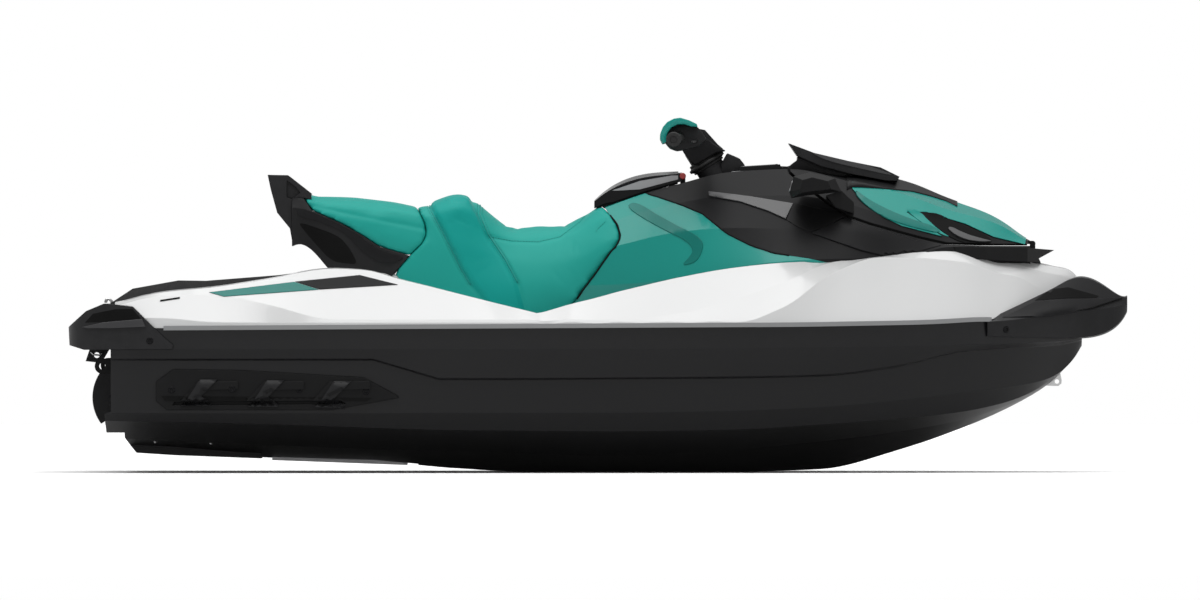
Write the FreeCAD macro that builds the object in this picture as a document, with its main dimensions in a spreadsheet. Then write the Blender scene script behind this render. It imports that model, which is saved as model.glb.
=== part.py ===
import FreeCAD, Part
import math
import os

import Sketcher

# A sit-down personal watercraft for up to three riders, standing on the flat pad of its keel.
# The bow points along +X, port is +Y and up is +Z; the origin is on the floor at mid length.
# Hull, deck, body and seat are lofted through ribs. A share table gives each rib as shares of
# the length along it, of the half beam across it and of the height up it.

doc = FreeCAD.newDocument("watercraft")
sheet = doc.addObject("Spreadsheet::Sheet", "sizes")

SIZES = {
    # Whole craft
    "length": 3318,
    "beam": 1250,
    "height": 1113,
    "overrun": 40,
    "seat_gap": 0.4,
    "moving_gap": 6,
    # Rub rail and bumpers
    "rail_tall": 14,
    "rail_deep": 12,
    "bumper_corner": 110,
    "bumper_inner_half": 520,
    # Sponsons
    "sponson_floor_half": 566,
    "sponson_face_half": 598,
    "strut_proud": 10,
    "slot_deep": 20,
    # Engine and its bay
    "engine_long": 560,
    "engine_wide": 340,
    "engine_tall": 385,
    "engine_floor": 75,
    "bay_gap": 6,
    # Jet pump
    "pump_axis_height": 235,
    "tunnel_half": 150,
    "tunnel_roof": 350,
    "notch_roof": 392,
    "flange_thick": 14,
    "flange_half": 113,
    "barrel_radius": 90,
    "barrel_bore": 79,
    "barrel_long": 240,
    "venturi_long": 60,
    "spigot_radius": 50,
    "spigot_bore": 44,
    "spigot_long": 60,
    "vane_thick": 5,
    "stator_hub_radius": 36,
    "stator_start": 150,
    "stator_long": 80,
    "tail_cone_long": 70,
    "bracket_thick": 8,
    "bracket_inner_half": 85,
    "bracket_tall": 40,
    "hinge_pin_radius": 8,
    "pin_gap": 0.3,
    # Impeller and drive shaft
    "impeller_radius": 73.5,
    "impeller_hub_radius": 30,
    "impeller_start": 62,
    "impeller_long": 80,
    "impeller_pitch": 190,
    "blade_thick": 5,
    "blade_count": 3,
    "vane_count": 7,
    "shaft_radius": 12,
    "shaft_bore": 19,
    # Steering nozzle
    "nozzle_front_radius": 70,
    "nozzle_exit_radius": 44,
    "nozzle_wall": 5,
    "nozzle_lip": 14,
    "nozzle_long": 135,
    # Reversing bucket
    "bucket_radius": 140,
    "bucket_wall": 8,
    "bucket_inner_half": 99,
    "bucket_arm_thick": 7,
    "bucket_rays": 9,
    "bucket_eye_radius": 20.8,
    "bucket_low_angle": -36,
    "bucket_high_angle": 62,
    # Ride plate and intake grate
    "grate_bar": 7,
    "grate_bar_tall": 18,
    "grate_half": 74,
    "duct_half": 78,
    "grate_bar_count": 4,
    # Steering
    "steering_lean": 32,
    "column_radius": 15,
    "column_long": 110,
    "socket_radius": 46,
    "socket_long": 80,
    "bar_radius": 11,
    "grip_radius": 17,
    "grip_flange_radius": 24,
    "grip_flange_thick": 5,
    "pod_radius": 27,
    "riser_half": 46,
    "palm_inner_half": 232,
    "palm_outer_half": 330,
    "lever_radius": 5,
    # Hood, visor, mirrors and glove box
    "hood_wall": 14,
    "insert_proud": 2,
    "insert_deep": 7,
    "glass_thick": 4,
    "knuckle_radius": 9,
    "ear_radius": 8,
    "small_pin_radius": 4,
    "hood_knuckle_half": 17,
    "ear_thick": 10,
    "lid_block_half": 50,
    "lid_knuckle_outer": 98,
    "glove_half": 78,
    "bin_half": 165,
    "bin_floor": 425,
    "panel_half": 95,
    # Deck gear
    "mat_thick": 4,
    "handle_half": 150,
    "handle_bar": 26,
    "handle_hole_half": 96,
    "hook_half": 16,
    "hook_bore": 9,
    "bow_eye_half": 8,
    "bow_eye_bore": 7,
    "stern_eye_half": 5,
    "stern_eye_radius": 24,
    "stern_eye_bore": 10,
    "stern_eye_reach": 28,
    "stern_eye_across": 470,
    "plug_radius": 17,
    "plug_proud": 9,
    "plug_across": 300,
}

for row, (alias, number) in enumerate(SIZES.items(), start=1):
    sheet.set("A%d" % row, alias)
    sheet.set("B%d" % row, str(number))
    sheet.setAlias("B%d" % row, alias)
doc.recompute()


def size(alias):
    """The number that a cell of the sheet holds."""
    return float(sheet.get(alias))


length = size("length")
height = size("height")
half_beam = size("beam") / 2
overrun = size("overrun")
side_reach = half_beam + overrun

# Ribs of the hull: pad edge, strake, low chine, chine, knuckle, its ledge, flange, top
aft_hull_shares = [
    (0.034, [(0.096, 0.073), (0.528, 0.097), (0.872, 0.147), (0.920, 0.168), (0.936, 0.316),
             (0.950, 0.321), (0.960, 0.348), (0.963, 0.452)]),
    (0.083, [(0.096, 0.065), (0.528, 0.093), (0.877, 0.144), (0.928, 0.168), (0.944, 0.316),
             (0.960, 0.321), (0.971, 0.348), (0.974, 0.452)]),
    (0.178, [(0.096, 0.042), (0.520, 0.079), (0.877, 0.138), (0.933, 0.168), (0.949, 0.316),
             (0.966, 0.321), (0.976, 0.348), (0.979, 0.452)]),
    (0.287, [(0.096, 0.032), (0.512, 0.066), (0.874, 0.127), (0.931, 0.168), (0.949, 0.316),
             (0.966, 0.321), (0.978, 0.348), (0.981, 0.452)]),
]
fore_hull_shares = [
    (0.349, [(0.093, 0.014), (0.502, 0.062), (0.867, 0.121), (0.928, 0.169), (0.947, 0.261),
             (0.965, 0.267), (0.978, 0.348), (0.981, 0.452)]),
    (0.425, [(0.083, 0.001), (0.490, 0.056), (0.861, 0.119), (0.922, 0.169), (0.942, 0.261),
             (0.960, 0.267), (0.978, 0.348), (0.981, 0.452)]),
    (0.500, [(0.080, 0.000), (0.477, 0.048), (0.848, 0.117), (0.909, 0.169), (0.934, 0.263),
             (0.954, 0.268), (0.974, 0.349), (0.979, 0.452)]),
    (0.614, [(0.072, 0.000), (0.451, 0.062), (0.819, 0.121), (0.885, 0.174), (0.912, 0.265),
             (0.931, 0.271), (0.960, 0.350), (0.970, 0.452)]),
    (0.709, [(0.061, 0.008), (0.400, 0.088), (0.749, 0.136), (0.819, 0.185), (0.848, 0.271),
             (0.866, 0.277), (0.906, 0.353), (0.918, 0.452)]),
    (0.785, [(0.048, 0.064), (0.320, 0.116), (0.616, 0.153), (0.696, 0.205), (0.739, 0.299),
             (0.755, 0.305), (0.797, 0.356), (0.813, 0.452)]),
    (0.842, [(0.035, 0.123), (0.237, 0.147), (0.445, 0.171), (0.531, 0.225), (0.589, 0.339),
             (0.602, 0.343), (0.643, 0.360), (0.659, 0.452)]),
    (0.889, [(0.026, 0.184), (0.154, 0.192), (0.248, 0.202), (0.344, 0.242), (0.413, 0.350),
             (0.424, 0.353), (0.467, 0.364), (0.480, 0.452)]),
    (0.929, [(0.019, 0.257), (0.074, 0.259), (0.106, 0.262), (0.154, 0.268), (0.221, 0.356),
             (0.229, 0.359), (0.266, 0.369), (0.275, 0.452)]),
    (0.957, [(0.014, 0.356), (0.026, 0.357), (0.032, 0.359), (0.038, 0.361), (0.058, 0.367),
             (0.064, 0.370), (0.090, 0.374), (0.096, 0.452)]),
]

# Ribs of the deck: skirt, sheer, rail top, facet, crest, its inner edge, footwell floor out
# and in, seat pedestal and middle
aft_deck_shares = [
    (0.044, [(0.888, 0.339), (0.963, 0.398), (0.960, 0.435), (0.920, 0.472), (0.872, 0.477),
             (0.824, 0.480), (0.800, 0.480), (0.419, 0.483), (0.376, 0.484), (0, 0.484)]),
    (0.088, [(0.920, 0.339), (0.974, 0.398), (0.970, 0.435), (0.896, 0.496), (0.856, 0.507),
             (0.808, 0.510), (0.784, 0.510), (0.419, 0.513), (0.376, 0.514), (0, 0.514)]),
    (0.135, [(0.936, 0.339), (0.979, 0.398), (0.973, 0.424), (0.872, 0.501), (0.840, 0.521),
             (0.792, 0.524), (0.768, 0.524), (0.419, 0.527), (0.376, 0.528), (0, 0.528)]),
    (0.188, [(0.941, 0.339), (0.981, 0.398), (0.973, 0.422), (0.936, 0.473), (0.808, 0.544),
             (0.760, 0.547), (0.736, 0.547), (0.416, 0.549), (0.365, 0.551), (0, 0.551)]),
    (0.245, [(0.941, 0.339), (0.981, 0.398), (0.973, 0.422), (0.963, 0.433), (0.776, 0.573),
             (0.728, 0.576), (0.704, 0.575), (0.408, 0.575), (0.344, 0.576), (0, 0.576)]),
    (0.273, [(0.941, 0.339), (0.981, 0.398), (0.973, 0.422), (0.965, 0.431), (0.773, 0.572),
             (0.725, 0.574), (0.696, 0.551), (0.400, 0.551), (0.328, 0.565), (0, 0.565)]),
    (0.311, [(0.941, 0.339), (0.981, 0.398), (0.973, 0.422), (0.965, 0.431), (0.800, 0.545),
             (0.749, 0.547), (0.704, 0.483), (0.400, 0.483), (0.320, 0.554), (0, 0.554)]),
    (0.349, [(0.941, 0.339), (0.981, 0.398), (0.973, 0.422), (0.965, 0.431), (0.840, 0.517),
             (0.787, 0.518), (0.752, 0.412), (0.403, 0.412), (0.312, 0.435), (0, 0.435)]),
    (0.396, [(0.939, 0.339), (0.981, 0.398), (0.973, 0.422), (0.965, 0.431), (0.872, 0.482),
             (0.819, 0.482), (0.784, 0.367), (0.408, 0.367), (0.304, 0.435), (0, 0.435)]),
    (0.441, [(0.936, 0.339), (0.979, 0.398), (0.971, 0.422), (0.963, 0.431), (0.883, 0.449),
             (0.832, 0.449), (0.797, 0.353), (0.413, 0.353), (0.304, 0.435), (0, 0.435)]),
]
fore_deck_shares = [
    aft_deck_shares[-1],
    (0.486, [(0.933, 0.339), (0.979, 0.398), (0.971, 0.422), (0.962, 0.431), (0.877, 0.484),
             (0.826, 0.484), (0.790, 0.353), (0.419, 0.353), (0.312, 0.435), (0, 0.435)]),
    (0.538, [(0.925, 0.339), (0.978, 0.398), (0.970, 0.423), (0.954, 0.436), (0.848, 0.524),
             (0.797, 0.524), (0.762, 0.356), (0.448, 0.356), (0.344, 0.472), (0, 0.472)]),
    (0.586, [(0.918, 0.339), (0.974, 0.401), (0.965, 0.424), (0.920, 0.455), (0.800, 0.556),
             (0.749, 0.556), (0.717, 0.364), (0.480, 0.364), (0.384, 0.514), (0, 0.514)]),
    (0.633, [(0.906, 0.339), (0.965, 0.401), (0.954, 0.425), (0.864, 0.494), (0.744, 0.579),
             (0.693, 0.579), (0.664, 0.387), (0.512, 0.387), (0.424, 0.542), (0, 0.542)]),
    (0.681, [(0.877, 0.339), (0.939, 0.401), (0.896, 0.480), (0.784, 0.545), (0.688, 0.592),
             (0.640, 0.592), (0.608, 0.452), (0.528, 0.452), (0.464, 0.571), (0, 0.571)]),
    (0.718, [(0.840, 0.339), (0.909, 0.401), (0.784, 0.559), (0.688, 0.591), (0.632, 0.595),
             (0.584, 0.595), (0.552, 0.556), (0.512, 0.556), (0.464, 0.576), (0, 0.576)]),
    (0.766, [(0.768, 0.339), (0.845, 0.404), (0.656, 0.606), (0.595, 0.609), (0.528, 0.599),
             (0.480, 0.600), (0.456, 0.599), (0.400, 0.600), (0.336, 0.593), (0, 0.593)]),
    (0.828, [(0.608, 0.339), (0.701, 0.407), (0.496, 0.599), (0.419, 0.627), (0.360, 0.636),
             (0.304, 0.640), (0.272, 0.640), (0.224, 0.640), (0.176, 0.627), (0, 0.621)]),
    (0.880, [(0.400, 0.339), (0.518, 0.410), (0.344, 0.562), (0.264, 0.593), (0.208, 0.603),
             (0.160, 0.605), (0.136, 0.605), (0.112, 0.605), (0.080, 0.605), (0, 0.606)]),
    (0.924, [(0.160, 0.339), (0.301, 0.412), (0.184, 0.514), (0.128, 0.565), (0.096, 0.585),
             (0.072, 0.587), (0.061, 0.587), (0.048, 0.587), (0.032, 0.587), (0, 0.588)]),
    (0.952, [(0.048, 0.339), (0.134, 0.415), (0.080, 0.480), (0.056, 0.534), (0.040, 0.551),
             (0.029, 0.553), (0.022, 0.553), (0.018, 0.553), (0.011, 0.553), (0, 0.554)]),
]

# Ribs of the body above the deck: foot, flank, waist, shoulder, top edge and middle
body_shares = [
    (0.455, [(0.371, 0.429), (0.360, 0.528), (0.328, 0.613), (0.272, 0.669), (0.176, 0.695),
             (0, 0.706)]),
    (0.500, [(0.392, 0.429), (0.384, 0.528), (0.349, 0.627), (0.272, 0.695), (0.168, 0.740),
             (0, 0.749)]),
    (0.538, [(0.440, 0.429), (0.435, 0.534), (0.381, 0.655), (0.280, 0.734), (0.176, 0.782),
             (0, 0.788)]),
    (0.576, [(0.512, 0.429), (0.509, 0.551), (0.435, 0.678), (0.320, 0.760), (0.208, 0.814),
             (0, 0.814)]),
    (0.624, [(0.600, 0.429), (0.595, 0.576), (0.509, 0.689), (0.384, 0.780), (0.248, 0.847),
             (0, 0.833)]),
    (0.681, [(0.680, 0.429), (0.672, 0.596), (0.576, 0.686), (0.467, 0.780), (0.304, 0.855),
             (0, 0.836)]),
    (0.737, [(0.680, 0.429), (0.664, 0.602), (0.592, 0.686), (0.506, 0.754), (0.376, 0.819),
             (0, 0.847)]),
    (0.785, [(0.592, 0.429), (0.563, 0.602), (0.509, 0.655), (0.456, 0.706), (0.320, 0.785),
             (0, 0.822)]),
    (0.832, [(0.448, 0.429), (0.413, 0.636), (0.384, 0.645), (0.339, 0.672), (0.227, 0.737),
             (0, 0.768)]),
    (0.870, [(0.344, 0.429), (0.304, 0.605), (0.285, 0.621), (0.240, 0.647), (0.147, 0.706),
             (0, 0.726)]),
    (0.908, [(0.192, 0.429), (0.144, 0.593), (0.120, 0.613), (0.088, 0.636), (0.040, 0.651),
             (0, 0.654)]),
]

# Ribs of the seat, laid out as those of the body
seat_shares = [
    (0.209, [(0.240, 0.638), (0.253, 0.706), (0.261, 0.746), (0.237, 0.771), (0.173, 0.781),
             (0, 0.785)]),
    (0.230, [(0.256, 0.619), (0.275, 0.678), (0.288, 0.729), (0.264, 0.761), (0.198, 0.775),
             (0, 0.780)]),
    (0.245, [(0.280, 0.556), (0.296, 0.655), (0.304, 0.718), (0.275, 0.754), (0.208, 0.770),
             (0, 0.775)]),
    (0.292, [(0.312, 0.514), (0.328, 0.593), (0.328, 0.678), (0.291, 0.740), (0.221, 0.758),
             (0, 0.764)]),
    (0.335, [(0.344, 0.429), (0.355, 0.528), (0.342, 0.641), (0.296, 0.723), (0.224, 0.744),
             (0, 0.750)]),
    (0.351, [(0.355, 0.429), (0.365, 0.514), (0.346, 0.633), (0.301, 0.732), (0.227, 0.760),
             (0, 0.767)]),
    (0.363, [(0.365, 0.429), (0.374, 0.508), (0.349, 0.641), (0.304, 0.746), (0.227, 0.774),
             (0, 0.781)]),
    (0.375, [(0.371, 0.429), (0.381, 0.500), (0.344, 0.641), (0.288, 0.740), (0.211, 0.771),
             (0, 0.778)]),
    (0.387, [(0.376, 0.429), (0.384, 0.494), (0.336, 0.627), (0.264, 0.712), (0.189, 0.740),
             (0, 0.749)]),
    (0.406, [(0.381, 0.429), (0.387, 0.492), (0.328, 0.605), (0.243, 0.667), (0.168, 0.689),
             (0, 0.696)]),
    (0.434, [(0.384, 0.429), (0.389, 0.486), (0.328, 0.593), (0.240, 0.655), (0.166, 0.678),
             (0, 0.686)]),
    (0.463, [(0.384, 0.429), (0.387, 0.492), (0.333, 0.593), (0.248, 0.661), (0.170, 0.684),
             (0, 0.689)]),
    (0.486, [(0.384, 0.429), (0.387, 0.500), (0.339, 0.613), (0.256, 0.684), (0.170, 0.715),
             (0, 0.722)]),
    (0.505, [(0.384, 0.429), (0.384, 0.514), (0.344, 0.641), (0.256, 0.718), (0.166, 0.749),
             (0, 0.760)]),
    (0.521, [(0.384, 0.429), (0.384, 0.528), (0.344, 0.655), (0.253, 0.734), (0.160, 0.757),
             (0, 0.768)]),
]

# Lines seen from the side, as shares of the length and of the height
sheer_shares = [(-0.011, 0.407), (0.088, 0.407), (0.311, 0.411), (0.500, 0.414), (0.690, 0.417),
                (0.785, 0.422), (0.870, 0.431), (1.010, 0.444)]
seat_front_shares = [(0.498, 0.766), (0.508, 0.732), (0.517, 0.698), (0.520, 0.664), (0.516, 0.638),
                     (0.510, 0.621), (0.498, 0.568), (0.484, 0.513), (0.474, 0.469), (0.461, 0.407)]
seat_split_shares = [(0.325, 0.850), (0.326, 0.768), (0.328, 0.741), (0.334, 0.706), (0.337, 0.676),
                     (0.333, 0.647), (0.320, 0.611), (0.306, 0.561), (0.285, 0.480)]
tail_line_shares = [(0.214, 0.850), (0.216, 0.790), (0.228, 0.738), (0.256, 0.701),
                    (0.275, 0.669), (0.292, 0.636), (0.320, 0.611)]
panel_line_shares = [(0.500, 0.774), (0.517, 0.790), (0.538, 0.791), (0.553, 0.778), (0.575, 0.756),
                     (0.597, 0.729), (0.619, 0.675), (0.644, 0.637), (0.666, 0.616), (0.697, 0.603),
                     (0.728, 0.582)]
lid_line_shares = [(0.677, 0.881), (0.681, 0.847), (0.693, 0.814), (0.714, 0.766), (0.736, 0.724),
                   (0.756, 0.703), (0.779, 0.684), (0.804, 0.664), (0.828, 0.648), (0.865, 0.644),
                   (0.930, 0.644)]

# Helpers: points, slabs cut from outlines, lofted skins and objects bound to the sheet


def spot(along_share, up_share, across=0.0):
    """A point of the craft, from the stern's tip forward, from the floor up."""
    return FreeCAD.Vector((along_share - 0.5) * length, across, up_share * height)


def side_slab(outline_shares, inner, outer):
    """An outline seen from the side, carried across the craft from inner to outer."""
    corners = [spot(along, up, inner) for along, up in outline_shares]
    face = Part.Face(Part.makePolygon(corners + corners[:1]))
    return face.extrude(FreeCAD.Vector(0, outer - inner, 0))


def plan_slab(outline_shares, low, high):
    """An outline seen from above, half of it given, carried up from low to high."""
    port = [FreeCAD.Vector((along - 0.5) * length, across * half_beam, low)
            for along, across in outline_shares]
    starboard = [FreeCAD.Vector(point.x, -point.y, low) for point in reversed(port) if point.y > 0]
    face = Part.Face(Part.makePolygon(port + starboard + port[:1]))
    return face.extrude(FreeCAD.Vector(0, 0, high - low))


def rib(along_share, half_shares, inset):
    """One rib of a skin, mirrored about the middle plane and moved inward by inset."""
    port = [spot(along_share, up, max(across * half_beam - inset, 0.0) if across else 0.0)
            for across, up in half_shares]
    port = [FreeCAD.Vector(point.x, point.y, point.z - inset) for point in port]
    starboard = [FreeCAD.Vector(point.x, -point.y, point.z) for point in reversed(port) if point.y > 0]
    return Part.makePolygon(port + starboard + port[:1])


def slopes(stations, values):
    """Slopes at the stations that keep a curve through the values free of overshoot."""
    secants = [(after - before) / (end - start)
               for start, end, before, after in zip(stations, stations[1:], values, values[1:])]
    middle = []
    for before, after in zip(secants, secants[1:]):
        middle.append(2 * before * after / (before + after) if before * after > 0 else 0.0)
    return [secants[0]] + middle + [secants[-1]]


def fair_value(stations, values, tangents, station):
    """The value of the fair curve at a station."""
    index = 0
    while index < len(stations) - 2 and station > stations[index + 1]:
        index += 1
    wide = stations[index + 1] - stations[index]
    part = (station - stations[index]) / wide
    start, end = values[index], values[index + 1]
    rise = part * part * (3 - 2 * part)
    leave = part * (1 - part) * (1 - part) * wide * tangents[index]
    arrive = part * part * (part - 1) * wide * tangents[index + 1]
    return start + (end - start) * rise + leave + arrive


rib_spacing_share = 0.022


def fair_ribs(rib_shares, spacing_share=rib_spacing_share):
    """Evenly spaced ribs on the fair curves through the given ones."""
    stations = [station for station, half in rib_shares]
    span = stations[-1] - stations[0]
    count = max(2, round(span / spacing_share))
    columns = []
    for index in range(len(rib_shares[0][1])):
        for part in (0, 1):
            values = [half[index][part] for station, half in rib_shares]
            columns.append((values, slopes(stations, values)))
    ribs = []
    for step in range(count + 1):
        station = stations[0] + span * step / count
        numbers = [fair_value(stations, values, tangents, station) for values, tangents in columns]
        ribs.append((station, list(zip(numbers[0::2], numbers[1::2]))))
    return ribs


def skin(rib_shares, inset=0.0):
    """A solid lofted through ribs: crisp along their corners, fair from rib to rib."""
    wires = [rib(station, half, inset) for station, half in fair_ribs(rib_shares)]
    return Part.makeLoft(wires, True, False, False)


def ruled_skin(rib_shares):
    """A solid with straight lines from rib to rib."""
    wires = [rib(station, half, 0.0) for station, half in rib_shares]
    return Part.makeLoft(wires, True, True, False)


def turned(profile, axis_start, axis_way):
    """A closed outline turned once about an axis."""
    face = Part.Face(Part.makePolygon(profile + profile[:1]))
    return face.revolve(axis_start, axis_way, 360)


def feature(label, shape):
    """A free-form shape as an object of the document."""
    made = doc.addObject("Part::Feature", label)
    made.Label = label
    made.Shape = shape
    return made


def fuse(label, pieces):
    """One object of several."""
    made = doc.addObject("Part::MultiFuse", label)
    made.Label = label
    made.Refine = False
    made.Shapes = pieces
    return made


def cut(label, base, tool):
    """The base less the tool."""
    made = doc.addObject("Part::Cut", label)
    made.Label = label
    made.Refine = False
    made.Base = base
    made.Tool = tool
    return made


def common(label, base, tool):
    """What the base and the tool share."""
    made = doc.addObject("Part::Common", label)
    made.Label = label
    made.Refine = False
    made.Base = base
    made.Tool = tool
    return made


def mirrored(label, source):
    """The port copy of a starboard piece."""
    made = doc.addObject("Part::Mirroring", label)
    made.Label = label
    made.Source = source
    made.Normal = FreeCAD.Vector(0, 1, 0)
    return made


def pair(label, starboard):
    """A starboard piece and its port copy, as two solids of one node."""
    return fuse(label, [starboard, mirrored(label + "_port", starboard)])


def total(*terms):
    """A dimension as named sizes, each times a plain factor: its value and its expression."""
    number = sum(factor * size(alias) for alias, factor in terms)
    text = " + ".join("(%.4f) * sizes.%s" % (factor, alias) for alias, factor in terms)
    return number, text


def along(share):
    """A place along the craft as a dimension."""
    return total(("length", share - 0.5))


def bound(made, **places):
    """Binds properties to dimensions; place_x, place_y and place_z set the Placement."""
    for name, dimension in places.items():
        path = name.replace("place_", "Placement.Base.") if name.startswith("place_") else name
        made.setExpression(path, dimension[1])
    return made


def box(label, **places):
    """A block bound to the sheet."""
    made = doc.addObject("Part::Box", label)
    made.Label = label
    return bound(made, **places)


def cylinder(label, axis=(0, 0, 1), **places):
    """A round bar bound to the sheet, its base at its place and its length along axis."""
    made = doc.addObject("Part::Cylinder", label)
    made.Label = label
    turn = FreeCAD.Rotation(FreeCAD.Vector(0, 0, 1), FreeCAD.Vector(*axis))
    made.Placement = FreeCAD.Placement(FreeCAD.Vector(0, 0, 0), turn)
    return bound(made, **places)


def origin_feature(body, role):
    """A plane or axis of the body's own origin."""
    return [item for item in body.Origin.OriginFeatures if item.Role == role][0]


def new_body(label):
    """An empty body with its label."""
    body = doc.addObject("PartDesign::Body", label)
    body.Label = label
    return body


def sketch_on(body, name, role, shift=None):
    """An empty sketch on one of the body's origin planes, moved off it by shift."""
    sketch = body.newObject("Sketcher::SketchObject", name)
    sketch.AttachmentSupport = (origin_feature(body, role), [""])
    sketch.MapMode = "FlatFace"
    if shift:
        sketch.setExpression("AttachmentOffset.Base.z", shift[1])
    return sketch


def pin_down(sketch, kind, first, point, dimension):
    """A constraint from the sketch's origin, bound to the sheet."""
    number = sketch.addConstraint(Sketcher.Constraint(kind, -1, 1, first, point, dimension[0]))
    sketch.setExpression("Constraints[%d]" % number, dimension[1])


def draw_polygon(sketch, corners):
    """A closed outline whose corners are pairs of dimensions."""
    start = sketch.GeometryCount
    places = [FreeCAD.Vector(x[0], y[0], 0) for x, y in corners]
    for index, place in enumerate(places):
        sketch.addGeometry(Part.LineSegment(place, places[(index + 1) % len(places)]), False)
    for index, corner in enumerate(corners):
        after = start + (index + 1) % len(corners)
        sketch.addConstraint(Sketcher.Constraint("Coincident", start + index, 2, after, 1))
        pin_down(sketch, "DistanceX", start + index, 1, corner[0])
        pin_down(sketch, "DistanceY", start + index, 1, corner[1])


def draw_circle(sketch, x, y, radius):
    """A circle whose centre and radius are dimensions."""
    centre = FreeCAD.Vector(x[0], y[0], 0)
    circle = Part.Circle(centre, FreeCAD.Vector(0, 0, 1), radius[0])
    index = sketch.addGeometry(circle, False)
    pin_down(sketch, "DistanceX", index, 3, x)
    pin_down(sketch, "DistanceY", index, 3, y)
    number = sketch.addConstraint(Sketcher.Constraint("Radius", index, radius[0]))
    sketch.setExpression("Constraints[%d]" % number, radius[1])


def side_corners(outline_shares):
    """Corners of a side outline as dimensions of the length and the height."""
    return [(along(share), total(("height", up))) for share, up in outline_shares]


def pad(body, name, sketch, thick, midplane=False, backward=False):
    """A sketch given thickness."""
    made = body.newObject("PartDesign::Pad", name)
    made.Profile = sketch
    made.Midplane = midplane
    made.Reversed = backward
    made.setExpression("Length", thick[1])
    return made


def through_pocket(body, name, sketch):
    """A cut right through on both sides of the sketch."""
    doc.recompute()
    made = body.newObject("PartDesign::Pocket", name)
    made.Profile = sketch
    made.Type = 1
    made.Midplane = True
    return made


# Hull

hull_form = fuse("hull_form", [
    feature("hull_aft", skin(aft_hull_shares)),
    feature("hull_middle", ruled_skin([aft_hull_shares[-1], fore_hull_shares[0]])),
    feature("hull_fore", skin(fore_hull_shares)),
])
under_craft_shares = [(1.010, -0.100), (-0.011, -0.100)]
over_craft_shares = [(1.010, 1.100), (-0.011, 1.100)]
below_sheer = feature("below_sheer", side_slab(sheer_shares + under_craft_shares, -side_reach, side_reach))
above_sheer = feature("above_sheer", side_slab(sheer_shares + over_craft_shares, -side_reach, side_reach))

# The footwells hang below the sheer, in a well of the hull that they fill
footwell_plan_shares = [(0.330, 0.865), (0.600, 0.865), (0.668, 0.815)]
footwell_floor_share = 0.339
footwell_top_share = 0.417
footwell = feature("footwell_plug", plan_slab(
    footwell_plan_shares, footwell_floor_share * height, footwell_top_share * height))

transom_shares = [(-0.011, 0.486), (0.040, 0.486), (0.040, 0.172), (0.034, 0.167), (0.035, 0.113),
                  (0.052, 0.113), (0.052, 0.099), (0.056, 0.077), (0.062, 0.055), (0.064, -0.051),
                  (-0.011, -0.051)]
transom_cutter = feature("transom_cutter", side_slab(transom_shares, -side_reach, side_reach))

bumper_reach_shares = (0.044, 0.110)
stern_bumper_shares = [(0.000, 0.410), (0.001, 0.359), (0.015, 0.346), (0.098, 0.348), (0.099, 0.359),
                       (0.090, 0.382), (0.061, 0.467), (0.045, 0.473), (0.034, 0.476), (0.017, 0.455)]


def stern_bumper_shape():
    """The cap round the stern: rounded corners in plan, open in front between its arms."""
    cap_half = half_beam - size("rail_deep") / 2
    slab = side_slab(stern_bumper_shares, -cap_half, cap_half)
    corner = size("bumper_corner")
    rear = spot(0, 0).x
    front = spot(bumper_reach_shares[1], 0).x
    plan = Part.makeBox(front - rear, 2 * cap_half, height, FreeCAD.Vector(rear, -cap_half, 0))
    uprights = [edge for edge in plan.Edges
                if abs(edge.Vertexes[0].X - rear) < corner and abs(edge.Vertexes[0].Z - edge.Vertexes[1].Z) > 1]
    rounded = plan.makeFillet(corner, uprights)
    inner = size("bumper_inner_half")
    middle_start = spot(bumper_reach_shares[0], 0).x
    middle = Part.makeBox(front - middle_start, 2 * inner, height, FreeCAD.Vector(middle_start, -inner, 0))
    return slab.common(rounded).cut(middle)


stern_bumper = feature("stern_bumper", stern_bumper_shape())

# Bay for the engine, under the seat pedestal
bay_front_share = 0.546
engine_start = ("length", bay_front_share - 0.5)
engine_bay = box(
    "engine_bay",
    Length=total(("engine_long", 1), ("bay_gap", 2)),
    Width=total(("engine_wide", 1), ("bay_gap", 2)),
    Height=total(("engine_tall", 1), ("bay_gap", 1)),
    place_x=total(engine_start, ("engine_long", -1), ("bay_gap", -1)),
    place_y=total(("engine_wide", -0.5), ("bay_gap", -1)),
    place_z=total(("engine_floor", 1)),
)
engine = box(
    "engine",
    Length=total(("engine_long", 1)),
    Width=total(("engine_wide", 1)),
    Height=total(("engine_tall", 1)),
    place_x=total(engine_start, ("engine_long", -1)),
    place_y=total(("engine_wide", -0.5)),
    place_z=total(("engine_floor", 1)),
)

# Tunnel of the jet pump, the notch in which the bucket swings, the intake duct and shaft bore
tunnel_front_share = 0.180
notch_front_share = 0.112
behind_stern_share = 0.020
tunnel = box(
    "tunnel",
    Length=total(("length", tunnel_front_share + behind_stern_share)),
    Width=total(("tunnel_half", 2)),
    Height=total(("tunnel_roof", 1), ("overrun", 1)),
    place_x=along(-behind_stern_share),
    place_y=total(("tunnel_half", -1)),
    place_z=total(("overrun", -1)),
)
notch = box(
    "notch",
    Length=total(("length", notch_front_share + behind_stern_share)),
    Width=total(("tunnel_half", 2)),
    Height=total(("notch_roof", 1)),
    place_x=along(-behind_stern_share),
    place_y=total(("tunnel_half", -1)),
)
duct_shares = [(0.178, 0.282), (0.216, 0.251), (0.254, 0.181), (0.325, 0.042), (0.336, -0.023),
               (0.190, -0.023), (0.190, 0.073), (0.178, 0.142)]
duct = feature("duct", side_slab(duct_shares, -size("duct_half"), size("duct_half")))
shaft_way = cylinder(
    "shaft_way",
    axis=(1, 0, 0),
    Radius=total(("shaft_bore", 1)),
    Height=total(("length", bay_front_share - tunnel_front_share), ("engine_long", -1)),
    place_x=along(tunnel_front_share),
    place_z=total(("pump_axis_height", 1)),
)

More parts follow.
